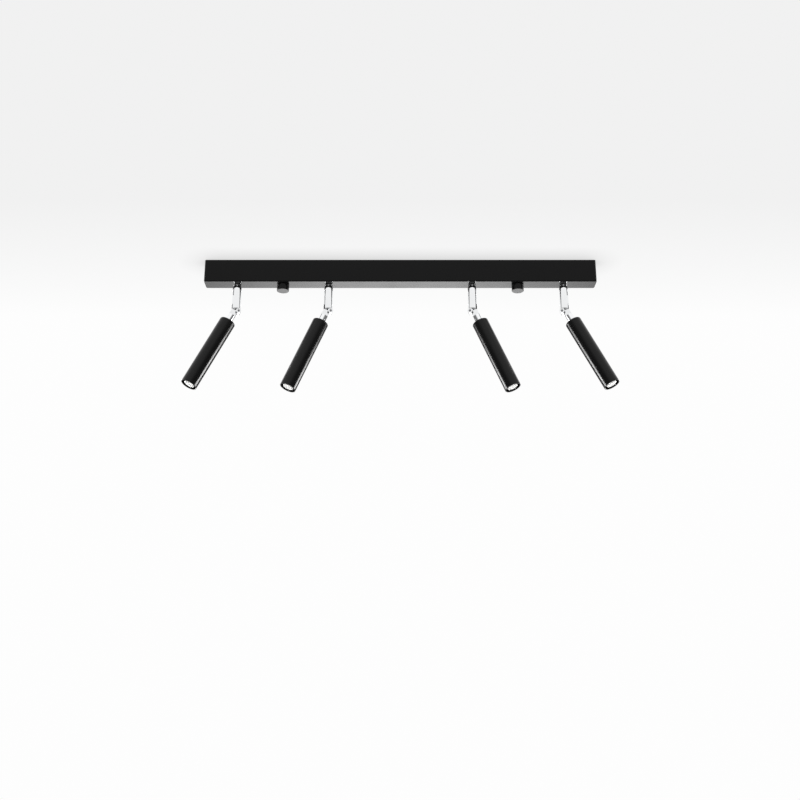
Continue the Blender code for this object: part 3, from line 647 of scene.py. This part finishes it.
for number, (x, y) in enumerate(poles, 1):
    turn = Matrix.Translation((x, y, 0)) @ Matrix.Rotation(number * 1.1, 4, "Z")
    fasten(screw_model, f"clamp_screw_{number}", turn, "root")
discard(pole_model, screw_model)

# --- Earth stud ----------
# Brass stud with a round flange, riveted to the bar's floor. Its hex nut clamps the earth lead.
EARTH_NUT_FLATS = 0.0070
FLANGE_THICKNESS = 0.0010
FLANGE_CHAMFER = 0.0002

stud_low, stud_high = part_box("earth_stud")
nut_low, nut_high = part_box("earth_nut")
earth_place = Matrix.Translation(((stud_low.x + stud_high.x) / 2, 0, 0))
flange_top = stud_low.z + FLANGE_THICKNESS
flange_radius = (stud_high.x - stud_low.x) / 2
earth_model = turned("earth_model", threaded(
    stud_high.z, flange_top + FLANGE_CHAMFER, STUD_RADIUS, STUD_PITCH) + [
    (STUD_RADIUS, flange_top), (flange_radius - FLANGE_CHAMFER, flange_top),
    (flange_radius, flange_top - FLANGE_CHAMFER), (flange_radius, stud_low.z)], 48)
earth_nut_model = hex_nut("earth_nut_model", EARTH_NUT_FLATS, nut_high.z,
                          nut_high.z - nut_low.z, STUD_RADIUS + THREAD_GAP)
fit(placed(earth_model, "brass_earth_stud", earth_place), brass, "brass", "root", "earth_stud")
fit(placed(earth_nut_model, "brass_earth_nut", earth_place), brass, "brass", "root", "earth_nut")
discard(earth_model, earth_nut_model)

# --- Leads ----------
# Sleeved copper leads from the terminal block, along the bar's walls and down through the
# hollow nipples. The earth lead has a green sleeve with yellow stripes.
SLEEVE_CLOUD = (0.40, 0.38, 0.35, 1)


def sleeve(name, first, second, stripe):
    """Extruded plastic sleeve, slightly cloudy, with a second colour in stripes."""
    finish, tree, shader = new_finish(name, specular_ior_level=0.45)
    place = object_place(tree)
    dust = layer(tree, settled_dust, place)[0]
    marks = layer(tree, hand_marks, place, scale=200.0)
    across = put(tree, "SeparateXYZ", {0: place}).outputs[1]
    striped = span(tree, across, -stripe, stripe)
    cloudy = noise(tree, place, 300.0, 3.0)
    colour = tint(tree, striped, (*first, 1), (*second, 1))
    colour = cover(tree, cloudy, 0.15, colour, SLEEVE_CLOUD)
    colour = cover(tree, dust, 0.3, colour, DUST)
    feed(tree, shader, base_color=colour,
         roughness=span(tree, marks["Smudge"], 0.0, 1.0, 0.42, 0.6))
    relief(tree, shader, noise(tree, place, 2400.0, 2.0), 0.2, 0.00004)
    return finish


def smooth_lead(node, name, finish, slot, fatten):
    """A lead drawn smooth from its CAD solid, and fattened again by what smoothing takes."""
    piece = bpy.data.objects.new(name, frame["nodes"][node].data.copy())
    bpy.context.scene.collection.objects.link(piece)
    only(piece)
    bpy.ops.object.mode_set(mode="EDIT")
    bpy.ops.mesh.select_all(action="SELECT")
    bpy.ops.mesh.remove_doubles(threshold=0.00001)
    bpy.ops.mesh.tris_convert_to_quads()
    bpy.ops.transform.shrink_fatten(value=fatten)
    done()
    rounding = piece.modifiers.new("rounding", "SUBSURF")
    rounding.levels = rounding.render_levels = 2
    bpy.ops.object.modifier_apply(modifier="rounding")
    fit(piece, finish, slot, "root", node)


grey_sleeve = sleeve("lead_sleeve_grey", (0.55, 0.53, 0.50), (0.62, 0.60, 0.56), 0.02)
earth_sleeve = sleeve("lead_sleeve_earth", (0.08, 0.30, 0.05), (0.78, 0.66, 0.05), 0.00005)
for number in SPOTS:
    smooth_lead(f"lead_{number}", f"sleeved_lead_{number}", grey_sleeve, "lead_sleeve", 0.00005)
smooth_lead("earth_lead", "sleeved_earth_lead", earth_sleeve, "earth_sleeve", 0.00004)

# --- Nipples, lock nuts and washers ----------
# Each spot hangs on a hollow M10 nipple. A lock nut on a steel washer holds it to the bar's
# floor, tight enough that the spot stays where it is turned.
NIPPLE_RADIUS = 0.0048
NIPPLE_BORE = 0.0032
NIPPLE_PITCH = 0.0010
NIPPLE_TOP = 0.0089
NIPPLE_END = -0.0120
LOCK_NUT_FLATS = 0.0140
LOCK_NUT_TOP = 0.0069
LOCK_NUT_HEIGHT = 0.0045
WASHER_HOLE = NIPPLE_RADIUS + 0.0003
WASHER_RADIUS = 0.0080
WASHER_TOP = 0.0021
WASHER_THICKNESS = 0.0008


def swivel_place(number):
    """Where a spot's swivel stands: at its hole under the bar, +X the way the spot folds."""
    turn, fold = joints[f"turn_{number}"], joints[f"fold_{number}"]
    out = Vector((-fold["axis"][1], fold["axis"][0], 0))
    facing = Matrix((out, (-out.y, out.x, 0), (0, 0, 1))).transposed().to_4x4()
    return Matrix.Translation(turn["pos_m"]) @ facing


nipple_model = turned("nipple_model", threaded(
    NIPPLE_TOP, NIPPLE_END, NIPPLE_RADIUS, NIPPLE_PITCH) + [
    (NIPPLE_BORE, NIPPLE_END), (NIPPLE_BORE, NIPPLE_TOP)], 48, True)
lock_nut_model = hex_nut(
    "lock_nut_model", LOCK_NUT_FLATS, LOCK_NUT_TOP, LOCK_NUT_HEIGHT, NIPPLE_RADIUS + THREAD_GAP)
washer_model = turned("washer_model", softened([
    (WASHER_HOLE, WASHER_TOP - WASHER_THICKNESS, 0.0001),
    (WASHER_HOLE, WASHER_TOP, 0.0001), (WASHER_RADIUS, WASHER_TOP, 0.0002),
    (WASHER_RADIUS, WASHER_TOP - WASHER_THICKNESS, 0.0002)], 2), 64, True)
for number in SPOTS:
    place = swivel_place(number)
    body = f"swivel_{number}"
    fasten(nipple_model, f"threaded_nipple_{number}", place, body, f"nipple_{number}")
    fasten(lock_nut_model, f"hex_lock_nut_{number}", place, body, f"lock_nut_{number}")
    fasten(washer_model, f"steel_washer_{number}", place, "root", f"friction_washer_{number}")
discard(nipple_model, lock_nut_model, washer_model)

# --- Stems ----------
# Turned brass, bright chrome plated. A short neck under the bar widens to 14 mm. The lower end
# is milled into a fork whose two cheeks carry the pivot screw beside the stem's axis.
STEM_RADIUS = 0.0070
STEM_NECK = 0.0059
STEM_TOP = -0.0003
STEM_NECK_END = -0.0036
STEM_SHOULDER = -0.0080
STEM_LENGTH = 0.0420
STEM_BORE = 0.0030
THREAD_HOLE = 0.0051
THREAD_HOLE_END = -0.0125
PIN_OFFSET = 0.0026
PIN_DROP = 0.0450
PIN_HOLE = 0.0020
CHEEK_RADIUS = 0.0039
FORK_HALF = 0.0030
FORK_TOP = -0.0338
CHROME_DARK, CHROME_LIGHT = (0.84, 0.85, 0.86, 1), (0.88, 0.885, 0.89, 1)
CHROME_DUST = (0.55, 0.53, 0.50, 1)
RUBBED_CHROME = (0.97, 0.96, 0.94, 1)


def chrome_plate(name, roughness):
    """Bright chrome with faint turning lines, wiping marks and a little dust."""
    finish, tree, shader = new_finish(name, metallic=1.0)
    place = object_place(tree)
    own = put(tree, "Attribute", attribute_name="own_place").outputs["Vector"]
    marks = layer(tree, hand_marks, place, scale=70.0)
    worn = layer(tree, edge_wear, place, width=0.0002)[0]
    dust = layer(tree, settled_dust, place)[0]
    lines = noise(tree, stretched(tree, own, (60.0, 60.0, 9000.0)), 1.0, 2.0)
    colour = tint(tree, noise(tree, place, 60.0, 3.0), CHROME_DARK, CHROME_LIGHT)
    colour = cover(tree, dust, 0.06, colour, CHROME_DUST)
    colour = cover(tree, worn, 0.2, colour, RUBBED_CHROME)
    gloss = span(tree, marks["Smudge"], 0.0, 1.0, roughness, roughness + 0.06)
    gloss = calc(tree, "ADD", gloss, calc(tree, "MULTIPLY", dust, 0.05))
    feed(tree, shader, base_color=colour, roughness=gloss)
    relief(tree, shader, calc(tree, "SUBTRACT", calc(tree, "MULTIPLY", lines, 0.25),
                              marks["Scratch"]), 0.06, 0.00002)
    return finish


def on_each_spot(model, name, where, finish, slot, body, node):
    """Give every spot its own copy of a model, fixed to its own body."""
    for number in SPOTS:
        fit(placed(model, f"{name}_{number}", where(number)), finish, slot,
            f"{body}_{number}", f"{node}_{number}")
    discard(model)


stem_chrome = chrome_plate("stem_chrome", 0.03)

stem_model = turned("stem_model", softened([
    (THREAD_HOLE, STEM_TOP, 0.0001), (STEM_NECK, STEM_TOP, 0.0002),
    (STEM_NECK, STEM_NECK_END, 0.0004), (STEM_RADIUS, STEM_SHOULDER, 0.0005),
    (STEM_RADIUS, -STEM_LENGTH + 0.0002, 0.0008), (STEM_BORE, -STEM_LENGTH, 0.0002),
    (STEM_BORE, THREAD_HOLE_END, 0.0001), (THREAD_HOLE, THREAD_HOLE_END, 0.0001)], 5), 96, True)
cheek = math.sqrt(STEM_RADIUS ** 2 - PIN_OFFSET ** 2) - 0.0003
work(stem_model, rod("cheek", CHEEK_RADIUS, (-PIN_OFFSET, -cheek, -PIN_DROP),
                     (-PIN_OFFSET, cheek, -PIN_DROP), 72), "UNION")
work(stem_model, block("fork", (-0.02, -FORK_HALF, -0.055), (0.02, FORK_HALF, FORK_TOP)))
work(stem_model, rod("pin_drill", PIN_HOLE, (-PIN_OFFSET, -0.02, -PIN_DROP),
                     (-PIN_OFFSET, 0.02, -PIN_DROP), 40))
keep_own_place(stem_model)
on_each_spot(stem_model, "chrome_stem", swivel_place, stem_chrome, "chrome", "swivel", "stem")

# --- Pivot screws ----------
# Hardened steel pin of each knee joint, flush with the cheeks, with a hexagon socket at each
# end. It is screwed tight enough to hold the tube where it is folded.
PIVOT_RADIUS = 0.0017
SOCKET_FLATS = 0.0018
SOCKET_DEPTH = 0.0012

pin_steel = zinc_plate("pivot_steel", (0.42, 0.42, 0.43), 0.26, 1500.0)
pin_half = math.sqrt(STEM_RADIUS ** 2 - PIN_OFFSET ** 2) - 0.0006
pin_model = turned("pin_model", softened([
    (0.0004, pin_half, 0), (PIVOT_RADIUS, pin_half, 0.0002), (PIVOT_RADIUS, -pin_half, 0.0002),
    (0.0004, -pin_half, 0)]), 40)
for side in (-1, 1):
    work(pin_model, rod("socket", SOCKET_FLATS / math.sqrt(3),
                        (0, 0, side * (pin_half - SOCKET_DEPTH)), (0, 0, side * pin_half * 1.2), 6))
pin_place = Matrix.Translation((-PIN_OFFSET, 0, -PIN_DROP)) @ Matrix.Rotation(
    math.radians(90), 4, "X")
on_each_spot(pin_model, "socket_pivot", lambda number: swivel_place(number) @ pin_place,
             pin_steel, "pin_steel", "swivel", "pivot_screw")

# --- Arms ----------
# Lower half of each knee joint, chrome plated like the stem. Its flat tongue stands in the
# fork round the pivot screw, and its threaded tail goes through the tube's cap.
ARM_RADIUS = 0.0055
ARM_OFFSET = 0.0052
ARM_ROUNDING = 0.0030
ARM_BORE = 0.0018
TUBE_TOP = -0.0225
TAIL_RADIUS = 0.0040
TAIL_END = -0.0325
TAIL_PITCH = 0.00075
TONGUE_HALF = 0.0027
TONGUE_END = -0.0102
EYE_RADIUS = 0.0034


def folded_place(number):
    """Where a spot's folding half stands: at its pivot, with the tube's axis down local -Z."""
    fold = joints[f"fold_{number}"]
    lean = Matrix.Rotation(math.radians(fold["range_deg"][0]), 4, "Y")
    facing = swivel_place(number).to_3x3().to_4x4()
    return Matrix.Translation(fold["pos_m"]) @ facing @ lean


def to_tube_axis(model):
    """Move a turned model from the pivot over to the tube's axis."""
    only(model)
    model.location.x = ARM_OFFSET
    bpy.ops.object.transform_apply()
    return model


arm_end = TUBE_TOP + 0.0003
tail = threaded(TUBE_TOP + 0.0002, TAIL_END, TAIL_RADIUS, TAIL_PITCH)
arm_model = to_tube_axis(turned("arm_model", softened([
    (ARM_BORE, 0.0, 0.0001), (ARM_RADIUS, 0.0, ARM_ROUNDING), (ARM_RADIUS, arm_end, 0.0002),
    (TAIL_RADIUS, arm_end, 0)], 8) + tail[1:] + [(ARM_BORE, TAIL_END)], 80, True))
for side in (-1, 1):
    near, far = sorted((side * TONGUE_HALF, side * 0.02))
    work(arm_model, block("flat", (-0.02, near, TONGUE_END), (0.02, far, 0.002)))
work(arm_model, rod("eye", EYE_RADIUS, (0, -TONGUE_HALF, 0), (0, TONGUE_HALF, 0), 56), "UNION")
work(arm_model, rod("eye_drill", PIN_HOLE, (0, -0.02, 0), (0, 0.02, 0), 40))
keep_own_place(arm_model)
arm_chrome = chrome_plate("arm_chrome", 0.04)
on_each_spot(arm_model, "chrome_arm", folded_place, arm_chrome, "chrome", "spot", "arm")

# --- Tubes ----------
# Spot housings of drawn steel tube, 24.5 mm across, with a rounded shoulder and a plain open
# mouth, coated satin black inside and out. The cap's hole takes the arm's tail.
TUBE_RADIUS = 0.01225
TUBE_WALL = 0.0010
TUBE_SHOULDER = 0.0018
TUBE_CAP = 0.0015
TUBE_MOUTH = -0.1425
TUBE_HOLE = 0.0043

tube_coat = black_coat("tube_satin_black", 0.003, 0.23, 1300.0, 0.0004, 0.22)
tube_model = to_tube_axis(turned("tube_model", softened([
    (TUBE_HOLE, TUBE_TOP, 0.0001), (TUBE_RADIUS, TUBE_TOP, TUBE_SHOULDER),
    (TUBE_RADIUS, TUBE_MOUTH, 0.0003), (TUBE_RADIUS - TUBE_WALL, TUBE_MOUTH, 0.0003),
    (TUBE_RADIUS - TUBE_WALL, TUBE_TOP - TUBE_CAP, 0.0006),
    (TUBE_HOLE, TUBE_TOP - TUBE_CAP, 0.0001)], 6), 112, True))
on_each_spot(tube_model, "black_tube", folded_place, tube_coat, "black_tube", "spot", "tube")

# --- Tube nuts and hangers ----------
# Inside each tube a hex nut on the arm's tail clamps the tube and the foot of a bent steel
# strap. The strap's lower tab carries the lamp holder on a slotted screw.
TUBE_NUT_FLATS = 0.0120
TUBE_NUT_TOP = -0.0256
TUBE_NUT_HEIGHT = 0.0045
HANGER_TOP = -0.0243
HANGER_SHEET = 0.0010
HANGER_HALF = 0.0035
HANGER_END = -0.0643
HANGER_FOOT = 0.0068
HANGER_WALL_X = 0.01016
ON_LINE = 0.00001
SCREW_HEAD_RADIUS = 0.0027
SCREW_RIM = 0.0013
SCREW_DOME = 0.0016

tube_nut_model = to_tube_axis(hex_nut(
    "tube_nut_model", TUBE_NUT_FLATS, TUBE_NUT_TOP, TUBE_NUT_HEIGHT, TAIL_RADIUS + THREAD_GAP))

strap = block("strap", (0, -HANGER_HALF, HANGER_TOP - HANGER_SHEET),
              (HANGER_WALL_X, HANGER_HALF, HANGER_TOP))
work(strap, block("strap_wall", (HANGER_WALL_X - HANGER_SHEET, -HANGER_HALF, HANGER_END),
                  (HANGER_WALL_X, HANGER_HALF, HANGER_TOP)), "UNION")
work(strap, block("strap_tab", (-HANGER_HALF, -HANGER_HALF, HANGER_END),
                  (HANGER_WALL_X, HANGER_HALF, HANGER_END + HANGER_SHEET)), "UNION")
pick(strap, "EDGE", lambda edge: all(
    abs(v.co.x - HANGER_WALL_X) < ON_LINE and min(
        abs(v.co.z - HANGER_TOP), abs(v.co.z - HANGER_END)) < ON_LINE for v in edge.verts))
bpy.ops.mesh.bevel(offset=HANGER_SHEET * 0.8, segments=6, affect="EDGES")
done()
work(strap, rod("foot", HANGER_FOOT, (0, 0, HANGER_TOP - HANGER_SHEET), (0, 0, HANGER_TOP)),
     "UNION")
work(strap, rod("foot_hole", TUBE_HOLE, (0, 0, HANGER_TOP - 0.002), (0, 0, HANGER_TOP + 0.002)))
break_edges(strap, SHEET_RIM)
hanger_model = to_tube_axis(strap)

tab_top = HANGER_END + HANGER_SHEET
holder_screw_model = turned("holder_screw_model", softened([
    (0.0014, tab_top, 0), (SCREW_HEAD_RADIUS, tab_top, 0.0001),
    (SCREW_HEAD_RADIUS, tab_top + SCREW_RIM, 0.0006), (0.0004, tab_top + SCREW_DOME, 0)]), 40)
work(holder_screw_model, block(
    "driver_slot", (-0.004, -0.0003, tab_top + 0.0008), (0.004, 0.0003, tab_top + 0.003)))
to_tube_axis(holder_screw_model)
for number in SPOTS:
    place = folded_place(number)
    body = f"spot_{number}"
    fasten(tube_nut_model, f"hex_tube_nut_{number}", place, body, f"tube_nut_{number}")
    fit(placed(hanger_model, f"steel_hanger_{number}", place), strip_zinc,
        "zinc_strip", body, f"hanger_{number}")
    fasten(holder_screw_model, f"holder_screw_{number}", place, body)
discard(tube_nut_model, hanger_model, holder_screw_model)

# --- Lamp holders ----------
# Pressed and fired ceramic, off-white and slightly rough, with two contact holes in the round
# recess that takes the lamp's neck.
HOLDER_RADIUS = 0.0088
HOLDER_TOP = -0.0646
HOLDER_END = -0.0856
HOLDER_RECESS = 0.0063
RECESS_TOP = -0.0796
CONTACT_Y = 0.0045
CONTACT_HOLE = 0.0012
WAIST_TOP = HOLDER_TOP - 0.0070
WAIST_END = HOLDER_TOP - 0.0096
WAIST_DEPTH = 0.0006
CERAMIC_DARK, CERAMIC_LIGHT = (0.68, 0.65, 0.58, 1), (0.80, 0.78, 0.72, 1)
PORE = (0.42, 0.39, 0.34, 1)
RUBBED_CERAMIC = (0.88, 0.86, 0.82, 1)

ceramic, tree, shader = new_finish("holder_ceramic", specular_ior_level=0.45)
place = object_place(tree)
worn = layer(tree, edge_wear, place, width=0.0004)[0]
dust = layer(tree, settled_dust, place)[0]
pores = span(tree, noise(tree, place, 1800.0, 2.0), 0.62, 0.72)
colour = tint(tree, noise(tree, place, 120.0, 4.0), CERAMIC_DARK, CERAMIC_LIGHT)
colour = cover(tree, pores, 0.5, colour, PORE)
colour = cover(tree, worn, 0.4, colour, RUBBED_CERAMIC)
colour = cover(tree, dust, 0.2, colour, DUST)
feed(tree, shader, base_color=colour, roughness=span(tree, pores, 0.0, 1.0, 0.55, 0.8))
relief(tree, shader, calc(tree, "SUBTRACT", noise(tree, place, 900.0, 4.0), pores), 0.4, 0.00006)

waist = HOLDER_RADIUS - WAIST_DEPTH
holder_model = to_tube_axis(turned("holder_model", softened([
    (NEAR_AXIS, HOLDER_TOP, 0), (HOLDER_RADIUS, HOLDER_TOP, 0.0008),
    (HOLDER_RADIUS, WAIST_TOP, 0.0002), (waist, WAIST_TOP - WAIST_DEPTH, 0.0002),
    (waist, WAIST_END + WAIST_DEPTH, 0.0002), (HOLDER_RADIUS, WAIST_END, 0.0002),
    (HOLDER_RADIUS, HOLDER_END, 0.0006), (HOLDER_RECESS, HOLDER_END, 0.0004),
    (HOLDER_RECESS, RECESS_TOP, 0.0004), (NEAR_AXIS, RECESS_TOP, 0)], 4), 80))
for side in (-1, 1):
    y = side * CONTACT_Y
    work(holder_model, rod("contact_hole", CONTACT_HOLE, (ARM_OFFSET, y, RECESS_TOP - 0.001),
                           (ARM_OFFSET, y, RECESS_TOP + 0.0070), 24))
on_each_spot(holder_model, "ceramic_holder", folded_place, ceramic, "holder_ceramic", "spot",
             "lamp_holder")

# --- Lamps ----------
# Push-in capsule lamps with an opal body. The flat front glows white almost level with the
# tube's mouth, and two nickel pins hold the lamp in its holder.
LAMP_RADIUS = 0.0080
LAMP_NECK = 0.0060
NECK_TOP = -0.0799
LAMP_TOP = -0.0859
LAMP_FRONT = -0.1415
LAMP_EDGE = 0.0012
SEAM_TOP = LAMP_TOP - 0.0140
SEAM_END = LAMP_TOP - 0.0150
SEAM_SLOPE = 0.0002
SEAM_DEPTH = 0.0003
PIN_RADIUS = 0.0009
PIN_LENGTH = 0.0065
OPAL_DARK, OPAL_LIGHT = (0.62, 0.62, 0.60, 1), (0.74, 0.74, 0.73, 1)
GLOW = (1.0, 0.995, 0.98, 1)
GLOW_START = LAMP_FRONT + 0.0200
GLOW_FULL = LAMP_FRONT + 0.0004
GLOW_LOW, GLOW_HIGH = 0.06, 0.18

opal, tree, shader = new_finish("lamp_opal", specular_ior_level=0.45, emission_strength=1.0)
place = object_place(tree)
own = put(tree, "Attribute", attribute_name="own_place").outputs["Vector"]
axes = put(tree, "SeparateXYZ", {0: own}).outputs
dust = layer(tree, settled_dust, place)[0]
marks = layer(tree, hand_marks, place, scale=120.0)
lit = span(tree, axes[2], GLOW_START, GLOW_FULL)
mottle = noise(tree, place, 400.0, 3.0)
glow = calc(tree, "MULTIPLY", calc(tree, "POWER", lit, 2.0),
            span(tree, mottle, 0.3, 0.7, GLOW_LOW, GLOW_HIGH))
glow_colour = tint(tree, glow, (0, 0, 0, 1), GLOW)
glow_colour.node.clamp_factor = False
body_colour = tint(tree, mottle, OPAL_DARK, OPAL_LIGHT)
body_colour = cover(tree, dust, 0.2, body_colour, DUST)
feed(tree, shader, base_color=body_colour, emission_color=glow_colour,
     roughness=span(tree, marks["Smudge"], 0.0, 1.0, 0.26, 0.4))
relief(tree, shader, noise(tree, place, 1500.0, 2.0), 0.1, 0.00003)

seam = LAMP_RADIUS - SEAM_DEPTH
lamp_model = to_tube_axis(turned("lamp_model", softened([
    (NEAR_AXIS, NECK_TOP, 0), (LAMP_NECK, NECK_TOP, 0.0004), (LAMP_NECK, LAMP_TOP, 0.0002),
    (LAMP_RADIUS, LAMP_TOP, 0.0006), (LAMP_RADIUS, SEAM_TOP, 0.0001),
    (seam, SEAM_TOP - SEAM_SLOPE, 0.0001), (seam, SEAM_END + SEAM_SLOPE, 0.0001),
    (LAMP_RADIUS, SEAM_END, 0.0001), (LAMP_RADIUS, LAMP_FRONT, LAMP_EDGE),
    (NEAR_AXIS, LAMP_FRONT, 0)], 5), 80))
keep_own_place(lamp_model)
contact_model = turned("contact_model", softened([
    (0.0002, NECK_TOP + PIN_LENGTH, 0), (PIN_RADIUS, NECK_TOP + PIN_LENGTH, 0.0003),
    (PIN_RADIUS, NECK_TOP, 0.0001), (0.0002, NECK_TOP, 0)]), 24)
for number in SPOTS:
    place = folded_place(number)
    fit(placed(lamp_model, f"opal_lamp_{number}", place), opal, "lamp_diffuser",
        f"spot_{number}", f"lamp_{number}")
    for side, y in (("front", -CONTACT_Y), ("back", CONTACT_Y)):
        contact_place = place @ Matrix.Translation((ARM_OFFSET, y, 0))
        fasten(contact_model, f"lamp_pin_{number}_{side}", contact_place, f"spot_{number}")
discard(lamp_model, contact_model)

# --- Studio ----------
# White ceiling just above the bar, seen only from below, over a plain pale floor. Soft light
# comes from overhead, from a broad panel low behind the bar and from a panel at each side.
ROOM = 14.0
FLOOR_Z = -2.4
FLOOR_GREY = (0.55, 0.55, 0.55, 1)
WHITE, BLACK = (1, 1, 1, 1), (0, 0, 0, 1)
CEILING_GAP = 0.0002
CEILING_BACK = 1.5
# Painted light on the ceiling: its glow rises from the front level to the back level across this
# fade.
CEILING_FADE = 0.20
CEILING_LEVELS = (0.879, 0.985)
# Reach and darkest level of the shadow painted on the ceiling along the bar.
SHADOW_REACH = 0.045
SHADOW_LEVEL = 0.77
OVERHEAD = 1.08
HEIGHT_LEVELS = ((0.0, 0.20), (0.48, 0.16), (0.60, 0.18), (0.66, 0.42), (0.70, 0.92), (0.76, 1.0),
                 (1.0, 1.0))
SEEN_LEVEL = 0.985


def plain_plane(name, size, place, turn):
    bpy.ops.object.select_all(action="DESELECT")
    bpy.ops.mesh.primitive_plane_add(size=1, rotation=turn)
    plane = take_new(name)
    plane.scale = size
    plane.location = place
    only(plane)
    bpy.ops.object.transform_apply()
    return plane


def ramp(tree, value, stops):
    """Brightness along a value, from stops of (place, brightness), at most 1."""
    made = put(tree, "ValToRGB", {0: value})
    elements = made.color_ramp.elements
    while len(elements) < len(stops):
        elements.new(0.5)
    for element, (stop, brightness) in zip(elements, stops):
        element.position = stop
        element.color = (brightness, brightness, brightness, 1)
    return made.outputs[0]


ceiling = plain_plane(
    "ceiling", (ROOM, ROOM / 2 + CEILING_BACK, 1),
    (0, (CEILING_BACK - ROOM / 2) / 2, bar_high.z + CEILING_GAP), (math.pi, 0, 0))
for ray in ("visible_diffuse", "visible_glossy", "visible_transmission", "visible_shadow"):
    setattr(ceiling, ray, False)
# The ceiling glows by itself and is lit by nothing. Its shading is painted light: brighter towards
# the back, with a painted shadow along the bar.
plaster, tree, shader = new_finish("plaster_white", roughness=0.9, specular_ior_level=0.0,
                                   base_color=BLACK, emission_color=WHITE)
depth = put(tree, "SeparateXYZ", {0: object_place(tree)}).outputs[1]
# Painted shadow: the ceiling's glow is dimmed where ambient occlusion finds the bar close by, down
# to SHADOW_LEVEL within SHADOW_REACH.
painted_shadow_ao = put(tree, "AmbientOcclusion", {"Distance": SHADOW_REACH}, samples=16).outputs["AO"]
painted_ceiling_light = calc(tree, "MULTIPLY", span(tree, depth, -CEILING_FADE, CEILING_FADE, *CEILING_LEVELS),
                span(tree, painted_shadow_ao, 0.5, 1.0, SHADOW_LEVEL, 1.0))
feed(tree, shader, emission_strength=painted_ceiling_light)
clear = put(tree, "BsdfTransparent").outputs[0]
behind = put(tree, "NewGeometry").outputs["Backfacing"]
output = tree.nodes["Material Output"]
tree.links.new(put(tree, "MixShader", {0: behind, 1: shader.outputs[0], 2: clear}).outputs[0],
               output.inputs["Surface"])
ceiling.data.materials.append(plaster)

floor = plain_plane("floor", (ROOM, ROOM, 1), (0, 0, FLOOR_Z), (0, 0, 0))
pale, tree, shader = new_finish("pale_floor", roughness=0.8, base_color=FLOOR_GREY,
                                specular_ior_level=0.0)
floor.data.materials.append(pale)

world = bpy.data.worlds.new("soft_room")
bpy.context.scene.world = world
world.use_nodes = True
tree = world.node_tree
height = put(tree, "SeparateXYZ", {0: put(tree, "TexCoord").outputs["Generated"]}).outputs[2]
level = ramp(tree, span(tree, height, -1.0, 1.0), HEIGHT_LEVELS)
light = calc(tree, "MULTIPLY", level, OVERHEAD)
seen = put(tree, "LightPath").outputs["Is Camera Ray"]
light = put(tree, "Mix", {0: seen, 2: light, 3: SEEN_LEVEL}).outputs[0]
tree.links.new(light, tree.nodes["Background"].inputs["Strength"])
tree.nodes["Background"].inputs["Color"].default_value = WHITE

# The back panel stands low behind the bar and lights its underside, fading towards its sides.
# One panel stands out to each side, brighter towards its foot: it draws the bright line along
# the inner edge of each tube.
BACK_SIZE = (4.4, 1, 1.4)
BACK_PLACE = (0, 2.5, -1.0)
BACK_FADE, BACK_LEVELS = (0.2, 1.1), (5.7, 1.2)
SIDE_SIZE = (1, 0.5, 0.26)
SIDE_X, SIDE_Y, SIDE_Z = 0.8, 0.44, -0.22
SIDE_FADE, SIDE_LEVELS = (-0.29, -0.09), (38.0, 0.0)


def panel_glow(name, axis):
    """Finish of a light panel, with the place along one of the room's axes."""
    finish, tree, shader = new_finish(name, base_color=BLACK, emission_color=WHITE)
    place = put(tree, "SeparateXYZ", {0: object_place(tree)}).outputs
    return finish, tree, shader, place[axis]


back_glow, tree, shader, across = panel_glow("back_panel_light", 0)
feed(tree, shader, emission_strength=span(
    tree, calc(tree, "ABSOLUTE", across), *BACK_FADE, *BACK_LEVELS))
side_glow, tree, shader, up = panel_glow("side_panel_light", 2)
feed(tree, shader, emission_strength=span(tree, up, *SIDE_FADE, *SIDE_LEVELS))
for name, size, place, turn, glow in (
        ("low_back_panel", BACK_SIZE, BACK_PLACE, (math.pi / 2, 0, 0), back_glow),
        ("left_panel", SIDE_SIZE, (-SIDE_X, SIDE_Y, SIDE_Z), (0, math.pi / 2, 0), side_glow),
        ("right_panel", SIDE_SIZE, (SIDE_X, SIDE_Y, SIDE_Z), (0, -math.pi / 2, 0), side_glow)):
    panel = plain_plane(name, size, place, turn)
    panel.visible_camera = False
    panel.data.materials.append(glow)

bpy.context.scene.view_settings.view_transform = "Standard"

CAMERA_PLACE = (-0.0005, -1.5336, -0.7471)
CAMERA_LIFT = 18.87
CAMERA_LENS, CAMERA_SENSOR = 49.26, 36.0
bpy.ops.object.camera_add(location=CAMERA_PLACE,
                          rotation=(math.radians(90 + CAMERA_LIFT), 0, 0))
camera = bpy.context.object
camera.data.lens = CAMERA_LENS
camera.data.sensor_width = CAMERA_SENSOR
bpy.context.scene.camera = camera
